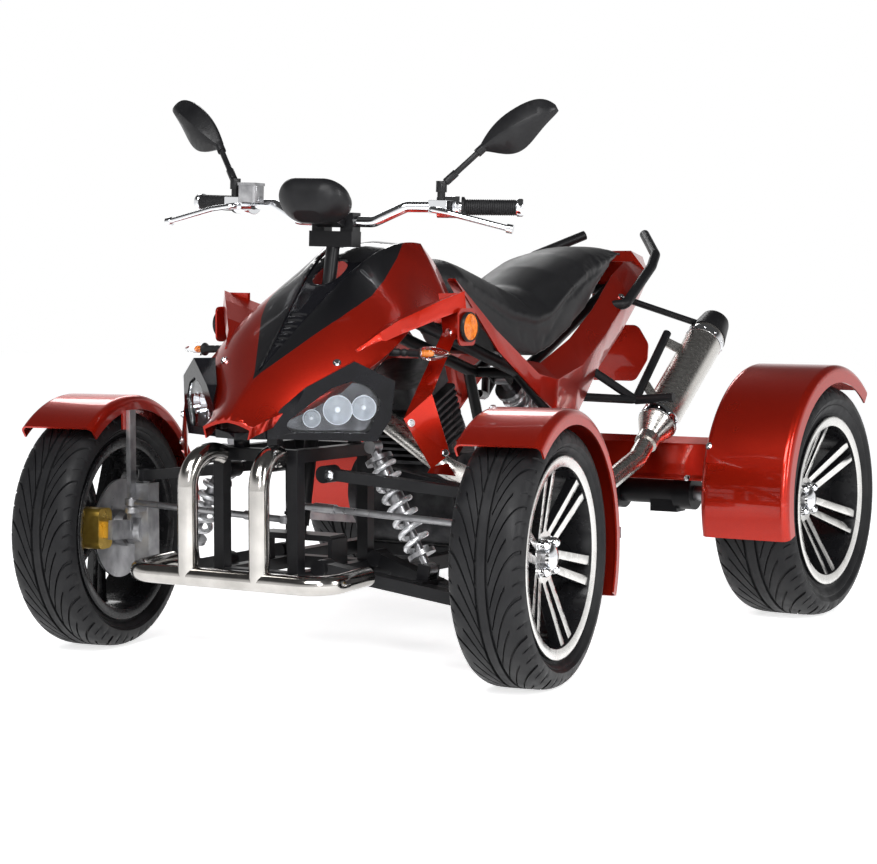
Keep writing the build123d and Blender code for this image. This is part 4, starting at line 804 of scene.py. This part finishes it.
def candy_red(name):
    """Tinted lacquer over fine flake, with a clear coat."""
    finish = new_finish(name, RED_DEEP, 0.28, RED_METAL, 0.3)
    shader = shader_of(finish)
    shader.inputs["Coat Weight"].default_value = 0.55
    shader.inputs["Coat Roughness"].default_value = 0.03
    mottle(finish, FLAKE_SCALE, RED_DEEP, RED_FLAKE, (1, 1, 1), 0.0)
    cloud_gloss(finish, 5.0, 0.26, 0.34)
    return finish


def paint_panel(finish):
    """Masks a gloss black panel down the middle of the cowl into its red."""
    tree = finish.node_tree
    shader = shader_of(finish)
    place = tree.nodes.new("ShaderNodeTexCoord")
    apart = tree.nodes.new("ShaderNodeSeparateXYZ")
    across = tree.nodes.new("ShaderNodeMath")
    across.operation = "ABSOLUTE"
    along = tree.nodes.new("ShaderNodeMapRange")
    along.inputs["From Min"].default_value = PANEL_FROM
    along.inputs["From Max"].default_value = PANEL_FROM + PANEL_LONG
    edge = tree.nodes.new("ShaderNodeValToRGB")
    band = edge.color_ramp
    while len(band.elements) < len(PANEL_EDGE):
        band.elements.new(0.5)
    for element, (y, half) in zip(band.elements, PANEL_EDGE):
        element.position = (y - PANEL_FROM) / PANEL_LONG
        element.color = (half / PANEL_WIDE, half / PANEL_WIDE, half / PANEL_WIDE, 1)
    wide = tree.nodes.new("ShaderNodeMath")
    wide.operation = "MULTIPLY"
    wide.inputs[1].default_value = PANEL_WIDE
    inside = tree.nodes.new("ShaderNodeMath")
    inside.operation = "SUBTRACT"
    mask = tree.nodes.new("ShaderNodeMapRange")
    mask.inputs["From Min"].default_value = -PANEL_BLUR
    mask.inputs["From Max"].default_value = PANEL_BLUR
    tree.links.new(place.outputs["Object"], apart.inputs[0])
    tree.links.new(apart.outputs["X"], across.inputs[0])
    tree.links.new(apart.outputs["Y"], along.inputs["Value"])
    tree.links.new(along.outputs["Result"], edge.inputs["Fac"])
    tree.links.new(edge.outputs["Color"], wide.inputs[0])
    tree.links.new(wide.outputs[0], inside.inputs[0])
    tree.links.new(across.outputs[0], inside.inputs[1])
    tree.links.new(inside.outputs[0], mask.inputs["Value"])
    paint = shader.inputs["Base Color"].links[0].from_socket
    blend = tree.nodes.new("ShaderNodeMix")
    blend.data_type = "RGBA"
    blend.inputs["B"].default_value = (*PANEL_BLACK, 1)
    tree.links.new(mask.outputs["Result"], blend.inputs["Factor"])
    tree.links.new(paint, blend.inputs["A"])
    tree.links.new(blend.outputs["Result"], shader.inputs["Base Color"])
    metal = tree.nodes.new("ShaderNodeMapRange")
    metal.inputs["To Min"].default_value = RED_METAL
    metal.inputs["To Max"].default_value = 0.0
    tree.links.new(mask.outputs["Result"], metal.inputs["Value"])
    tree.links.new(metal.outputs["Result"], shader.inputs["Metallic"])


red = candy_red("candy_red")
dress(
    red, "side_wings", "tail_cowl", "tail_mudguard", "fenders_rear", "axle_cover", "fender_front_left",
    "fender_front_right",
)
cowl_red = candy_red("candy_red_cowl")
paint_panel(cowl_red)
dress(cowl_red, "nose_cowl")
ease_edges(0.002, "nose_cowl", "side_wings", "tail_cowl", "tail_mudguard", "axle_cover")
dress(gloss, "nose_inlay", "headlight_mask")
ease_edges(0.002, "nose_inlay", "headlight_mask")

# Headlights: a stepped, smoked tray with three bright plated bowls and their bulbs,
# behind a clear moulded lens in each side of the black mask.
LAMP_PLACE = Vector((0.165, -0.712, 0.525))
LAMP_SIDE = Vector((0.805, 0.593, 0))
LAMP_LOOK = Vector((0.593, -0.805, 0))
LENS_OUTLINE = (
    (-0.108, -0.033), (-0.012, 0.040), (0.030, 0.054), (0.066, 0.042), (0.086, 0.012), (0.060, -0.046),
    (-0.080, -0.044),
)
TRAY_INSET = 0.955
TRAY_SET = -0.0062
TRAY_CORNER = 0.011
TRAY_WALL = 0.0008
TRAY_STEPS = (
    # how far in, how far up
    (0.003, 0.0), (0.003, -0.012), (0.009, -0.004), (0.004, -0.014),
)
BOWLS = (
    # place across, place up, radius
    (0.002, -0.002, 0.026), (0.052, 0.002, 0.022), (-0.048, -0.018, 0.016),
)
BOWL_PROFILE = (
    # out along the lamp's look, share of the bowl's radius
    (-0.034, 0.0), (-0.034, 0.30), (-0.030, 0.62), (-0.022, 0.86), (-0.012, 1.0), (-0.010, 1.04),
    (-0.010, 1.10), (-0.014, 1.12), (-0.036, 0.8), (-0.036, 0.0),
)
BULB_PROFILE = (
    # out along the lamp's look, share of the bowl's radius
    (-0.034, 0.0), (-0.034, 0.24), (-0.020, 0.24), (-0.016, 0.18), (-0.0145, 0.0),
)
lamp_turn = Matrix((LAMP_SIDE, (0, 0, 1), LAMP_LOOK)).transposed().to_4x4()
lamp_seat = Matrix.Translation(LAMP_PLACE) @ lamp_turn
tray_form = bmesh.new()
tray_form.faces.new([
    tray_form.verts.new((x * TRAY_INSET, y * TRAY_INSET, TRAY_SET)) for x, y in reversed(LENS_OUTLINE)
])
bmesh.ops.bevel(
    tray_form, geom=tray_form.verts[:], offset=TRAY_CORNER, affect="VERTICES", segments=3, profile=0.5,
    material=-1,
)
step_in(tray_form, TRAY_STEPS)
bmesh.ops.solidify(tray_form, geom=tray_form.faces[:], thickness=TRAY_WALL)
bmesh.ops.transform(tray_form, matrix=lamp_seat, verts=tray_form.verts[:])
bowl_form = bmesh.new()
bulb_form = bmesh.new()
for across, up, size in BOWLS:
    seat = set_along(lamp_seat @ Vector((across, up, 0)), LAMP_LOOK)
    spun(bowl_form, [(along, size * share) for along, share in BOWL_PROFILE], seat, 36)
    spun(bulb_form, [(along, size * share) for along, share in BULB_PROFILE], seat, 20)
both_sides(tray_form)
both_sides(bowl_form)
both_sides(bulb_form)
smoke = new_finish("smoked_plate", (0.10, 0.10, 0.11), 0.16, 1.0)
mottle(smoke, 40.0, (0.06, 0.06, 0.065), (0.16, 0.16, 0.17))
cloud_gloss(smoke, 20.0, 0.10, 0.22)
piece("headlight_trays", tray_form, smoke, "chassis", "chrome")
piece("headlight_reflectors", bowl_form, chrome, "chassis", "chrome")
bulb_glass = new_finish("bulb_glass", (0.80, 0.82, 0.86), 0.10)
mottle(bulb_glass, 80.0, (0.70, 0.73, 0.78), (0.88, 0.90, 0.92))
piece("headlight_bulbs", bulb_form, bulb_glass, "chassis", "lens")
clear = new_finish("clear_lens", (0.96, 0.98, 1.0), 0.02)
shader_of(clear).inputs["Transmission Weight"].default_value = 1.0
shader_of(clear).inputs["IOR"].default_value = 1.30
emboss(clear, 30.0, 0.0002, 0.15)
dress(clear, "headlight_lenses")

# Turn signals: a clear teardrop moulded over an amber bulb, on a black rubber
# stem that plugs into the cowl's edge.
SIGNAL_TIP = Vector((0.324, -0.556, 0.630))
SIGNAL_ROOT = Vector((0.198, -0.578, 0.632))
STEM_END = Vector((0.266, -0.566, 0.630))
STEM_RADIUS = 0.0078
STEM_NECK = STEM_RADIUS * 0.82
signal_run = SIGNAL_TIP - STEM_END
signal_seat = set_along(STEM_END, signal_run)
drop_form = bmesh.new()
spun(drop_form, [
    (0.000, 0.0), (0.000, 0.0095), (0.004, 0.0128), (0.012, 0.0140), (0.022, 0.0136), (0.034, 0.0116),
    (0.046, 0.0082), (0.056, 0.0045), (0.0595, 0.0020), (0.0600, 0.0),
], signal_seat, 28)
both_sides(drop_form)
piece("signal_lenses", drop_form, clear, "chassis", "lens", "signals")
stem_form = bmesh.new()
spun(stem_form, [
    (0.000, 0.0), (0.000, STEM_RADIUS), (0.020, STEM_RADIUS), (0.022, STEM_NECK), (0.026, STEM_NECK),
    (0.028, STEM_RADIUS), (0.034, STEM_RADIUS), (0.036, STEM_NECK), (0.040, STEM_NECK), (0.042, STEM_RADIUS),
    (0.060, STEM_RADIUS), (0.0675, 0.0125), (0.0690, 0.0135), (0.0690, 0.0),
], set_along(SIGNAL_ROOT, STEM_END - SIGNAL_ROOT), 24)
both_sides(stem_form)
piece("signal_stems", stem_form, rubber, "chassis", "rubber")
amber = new_finish("amber_lens", (0.80, 0.20, 0.015), 0.16)
mottle(amber, 150.0, (0.62, 0.12, 0.008), (0.88, 0.26, 0.02))
emboss(amber, 260.0, 0.0005, 0.5)
glow_form = bmesh.new()
spun(glow_form, [
    (0.003, 0.0), (0.003, 0.005), (0.012, 0.0055), (0.020, 0.005), (0.025, 0.003), (0.027, 0.0),
], signal_seat, 16)
both_sides(glow_form)
piece("signal_bulbs", glow_form, amber, "chassis", "amber")

# Side reflectors: a round amber lens, faintly domed and cut in rings, snapped
# into a black cup on each wing's end.
CUP = Vector((0.3013, -0.454, 0.680))
CUP_RADIUS = 0.030
RINGS = 8
RING_OUTER = 0.0250
RING_STEP = 0.0031
RING_BEVEL = 0.0014
RING_LOW = 0.0080
RING_HIGH = 0.0088
RING_RISE = 0.0002
DISC_BACK = 0.006
DISC_TOP = 0.0104
cup_seat = set_along(CUP, (1, 0, 0))
disc_form = bmesh.new()
disc_profile = [(DISC_BACK, 0.0), (DISC_BACK, 0.0265), (0.0078, 0.0262)]
for count in range(RINGS):
    outer = RING_OUTER - RING_STEP * count
    rise = RING_RISE * count
    disc_profile += [(RING_LOW + rise, outer), (RING_HIGH + rise, outer - RING_BEVEL)]
disc_profile.append((DISC_TOP, 0.0))
spun(disc_form, disc_profile, cup_seat, 40)
both_sides(disc_form)
piece("reflector_lenses", disc_form, amber, "chassis", "amber", crease=20)
cup_form = bmesh.new()
spun(cup_form, [
    (0.0, 0.0), (0.0, CUP_RADIUS - 0.002), (0.002, CUP_RADIUS), (0.007, CUP_RADIUS),
    (0.009, CUP_RADIUS - 0.0012), (0.009, CUP_RADIUS - 0.0030), (0.0062, CUP_RADIUS - 0.0034), (0.0062, 0.0),
], cup_seat, 40)
both_sides(cup_form)
piece("reflector_cups", cup_form, mould, "chassis", "black_plastic", "side_reflectors")

# Tail lamp: a red lens moulded with fine prisms, let into the end of the tail and
# held by the cowl round it.
ruby = new_finish("red_lens", (0.42, 0.006, 0.006), 0.12)
mottle(ruby, 120.0, (0.30, 0.004, 0.004), (0.52, 0.010, 0.008))
emboss(ruby, 220.0, 0.0006, 0.6)
dress(ruby, "tail_lamp")
ease_edges(0.0015, "tail_lamp")

# Seat: a long two-step saddle of foam under black grained vinyl, pulled tight
# and stapled below, its top panel sewn to the side panels along a sunk seam.
WELD_REACH = 0.00003
SEAT_VOXEL = 0.006
FOAM_EASE = 0.5
FOAM_PASSES = 4
STAPLED_BELOW = -0.4
VINYL_MASS = 0.3
VINYL_STEPS = 4
SIDE_FACING = 0.25
SEAT_SLACK = 0.0045
SEAT_SWELL = 0.0065
SEAT_PRESSURE = 4.0
SEAT_FRAMES = 20
SEAM_DROP = 0.020
SEAM_WIDTH = 0.0045
SEAM_DEPTH = 0.0028
SEAT_SHOULDER = (
    # y, height where the top panel turns down to the side
    (-0.190, 0.796), (-0.100, 0.776), (0.055, 0.706), (0.130, 0.692), (0.190, 0.704), (0.280, 0.756),
    (0.374, 0.796), (0.471, 0.820), (0.600, 0.842), (0.708, 0.837),
)


def shoulder_height(y):
    """The seat's shoulder at a place along its length."""
    for (y0, z0), (y1, z1) in zip(SEAT_SHOULDER, SEAT_SHOULDER[1:]):
        if y <= y1:
            return z0 + (z1 - z0) * max(0.0, (y - y0) / (y1 - y0))
    return SEAT_SHOULDER[-1][1]


foam = bmesh.new()
foam.from_mesh(frame["nodes"]["seat"].data)
bmesh.ops.remove_doubles(foam, verts=foam.verts[:], dist=WELD_REACH)
bmesh.ops.recalc_face_normals(foam, faces=foam.faces[:])
foam.normal_update()
for vert in foam.verts:
    vert.co -= vert.normal * SEAT_SLACK
foam_mesh = bpy.data.meshes.new("seat_foam")
foam.to_mesh(foam_mesh)
foam.free()
cushion = bpy.data.objects.new("seat_cushion", foam_mesh)
scene.collection.objects.link(cushion)


def settle(thing):
    """Replaces a thing's mesh by what its modifiers make of it, and drops them."""
    bpy.context.view_layer.update()
    made = bpy.data.meshes.new_from_object(thing.evaluated_get(bpy.context.evaluated_depsgraph_get()))
    thing.modifiers.clear()
    thing.data = made


remesh = cushion.modifiers.new("skin", "REMESH")
remesh.mode = "VOXEL"
remesh.voxel_size = SEAT_VOXEL
ease = cushion.modifiers.new("ease", "SMOOTH")
ease.factor = FOAM_EASE
ease.iterations = FOAM_PASSES
settle(cushion)
start = [vert.co.copy() for vert in cushion.data.vertices]
held = cushion.vertex_groups.new(name="stapled")
held.add([vert.index for vert in cushion.data.vertices if vert.normal.z < STAPLED_BELOW], 1.0, "REPLACE")
cloth = cushion.modifiers.new("vinyl", "CLOTH")
cloth.settings.quality = VINYL_STEPS
cloth.settings.mass = VINYL_MASS
cloth.settings.use_pressure = True
cloth.settings.uniform_pressure_force = SEAT_PRESSURE
cloth.settings.vertex_group_mass = "stapled"
cloth.settings.effector_weights.gravity = 0.0
cloth.point_cache.frame_start = 1
cloth.point_cache.frame_end = SEAT_FRAMES
for step in range(1, SEAT_FRAMES + 1):
    scene.frame_set(step)
settle(cushion)
scene.frame_set(1)
cushion.vertex_groups.clear()
for vert, rest in zip(cushion.data.vertices, start):
    moved = vert.co - rest
    if moved.length > SEAT_SWELL:
        vert.co = rest + moved.normalized() * SEAT_SWELL
cushion.data.update()
for vert in cushion.data.vertices:
    if abs(vert.normal.x) > SIDE_FACING:
        below = shoulder_height(vert.co.y) - SEAM_DROP - vert.co.z
        vert.co -= vert.normal * SEAM_DEPTH * math.exp(-((below / SEAM_WIDTH) ** 2))
for polygon in cushion.data.polygons:
    polygon.use_smooth = True
rounding = cushion.modifiers.new("rounding", "SUBSURF")
rounding.levels = 1
rounding.render_levels = 1
vinyl = new_finish("seat_vinyl", (0.010, 0.010, 0.011), 0.45, specular=0.30)
mottle(vinyl, 8.0, (0.008, 0.008, 0.009), (0.014, 0.014, 0.015))
emboss(vinyl, 420.0, 0.0005, 0.4)
cloud_gloss(vinyl, 12.0, 0.36, 0.50)
cushion.data.materials.clear()
cushion.data.materials.append(vinyl)
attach(cushion, "chassis")
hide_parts("seat")

# Fasteners: plated hex bolts on washers, where the panels, brackets and arms are
# screwed together.
BOLTS = (
    # piece they sit on, body, pixel across and down, half width, on both sides
    ("side_wings", "chassis", 449, 332, 0.0058, True),
    ("nose_cowl", "chassis", 337, 363, 0.0058, True),
    ("side_wings", "chassis", 411, 423, 0.0055, True),
    ("side_wings", "chassis", 445, 453, 0.0055, True),
    ("arms", "chassis", 329, 475, 0.0075, True),
    ("fenders_rear", "chassis", 709, 446, 0.0058, True),
    ("axle_cover", "chassis", 687, 478, 0.0055, True),
    ("tail_cowl", "chassis", 621, 297, 0.0060, True),
    ("fender_front_left", "knuckle_left", 493, 408, 0.0055, False),
)
WASHER_SUNK = 0.001
WASHER_WIDE = 1.4
WASHER_TALL = 0.3
HEAD_PROFILE = (
    # out from the seat and radius, both as shares of the bolt's half width
    (0.2, 0), (0.2, 1), (0.85, 1), (1.05, 0.8), (1.05, 0),
)
BOLT_ROLL = (0.2, 0.1, 1)
sight_turn = camera.rotation_euler.to_matrix()
sight_reach = FOCAL_LENGTH / SENSOR_WIDTH * FRAME_WIDTH


def under_pixel(name, across, down):
    """Where the sight line through a pixel meets a piece, and which way its surface looks there."""
    form = bmesh.new()
    form.from_mesh(frame["nodes"][name].data)
    skin = BVHTree.FromBMesh(form)
    form.free()
    sight = sight_turn @ Vector((across - FRAME_WIDTH / 2, FRAME_HEIGHT / 2 - down, -sight_reach))
    place, normal, _, _ = skin.ray_cast(camera.location, sight.normalized())
    return place, normal


bolt_forms = {}
for name, body, across, down, size, pair in BOLTS:
    place, normal = under_pixel(name, across, down)
    if body not in bolt_forms:
        bolt_forms[body] = bmesh.new()
    wide = size * WASHER_WIDE
    tall = size * WASHER_TALL
    for hand in (1, -1) if pair else (1,):
        flip = Matrix.Diagonal((hand, 1, 1))
        seat = set_along(flip @ place, flip @ normal, BOLT_ROLL)
        spun(bolt_forms[body], [(-WASHER_SUNK, 0), (-WASHER_SUNK, wide), (tall, wide), (tall, 0)], seat, 20)
        spun(bolt_forms[body], [(size * along, size * share) for along, share in HEAD_PROFILE], seat, 6)
for body, form in bolt_forms.items():
    piece("bolts_" + body, form, chrome, body, "steel", crease=25)

# Edges: every cast, folded or moulded piece noted above has its triangles closed
# into one skin and its sharp edges broken, as a file or a mould's radius leaves them.
EDGE_ANGLE = math.radians(38)
EDGE_STEPS = 2
for width, name in edges_to_ease:
    weld = frame["nodes"][name].modifiers.new("skin", "WELD")
    weld.merge_threshold = WELD_REACH
    bevel = frame["nodes"][name].modifiers.new("edges", "BEVEL")
    bevel.width = width
    bevel.segments = EDGE_STEPS
    bevel.limit_method = "ANGLE"
    bevel.angle_limit = EDGE_ANGLE
    bevel.harden_normals = True
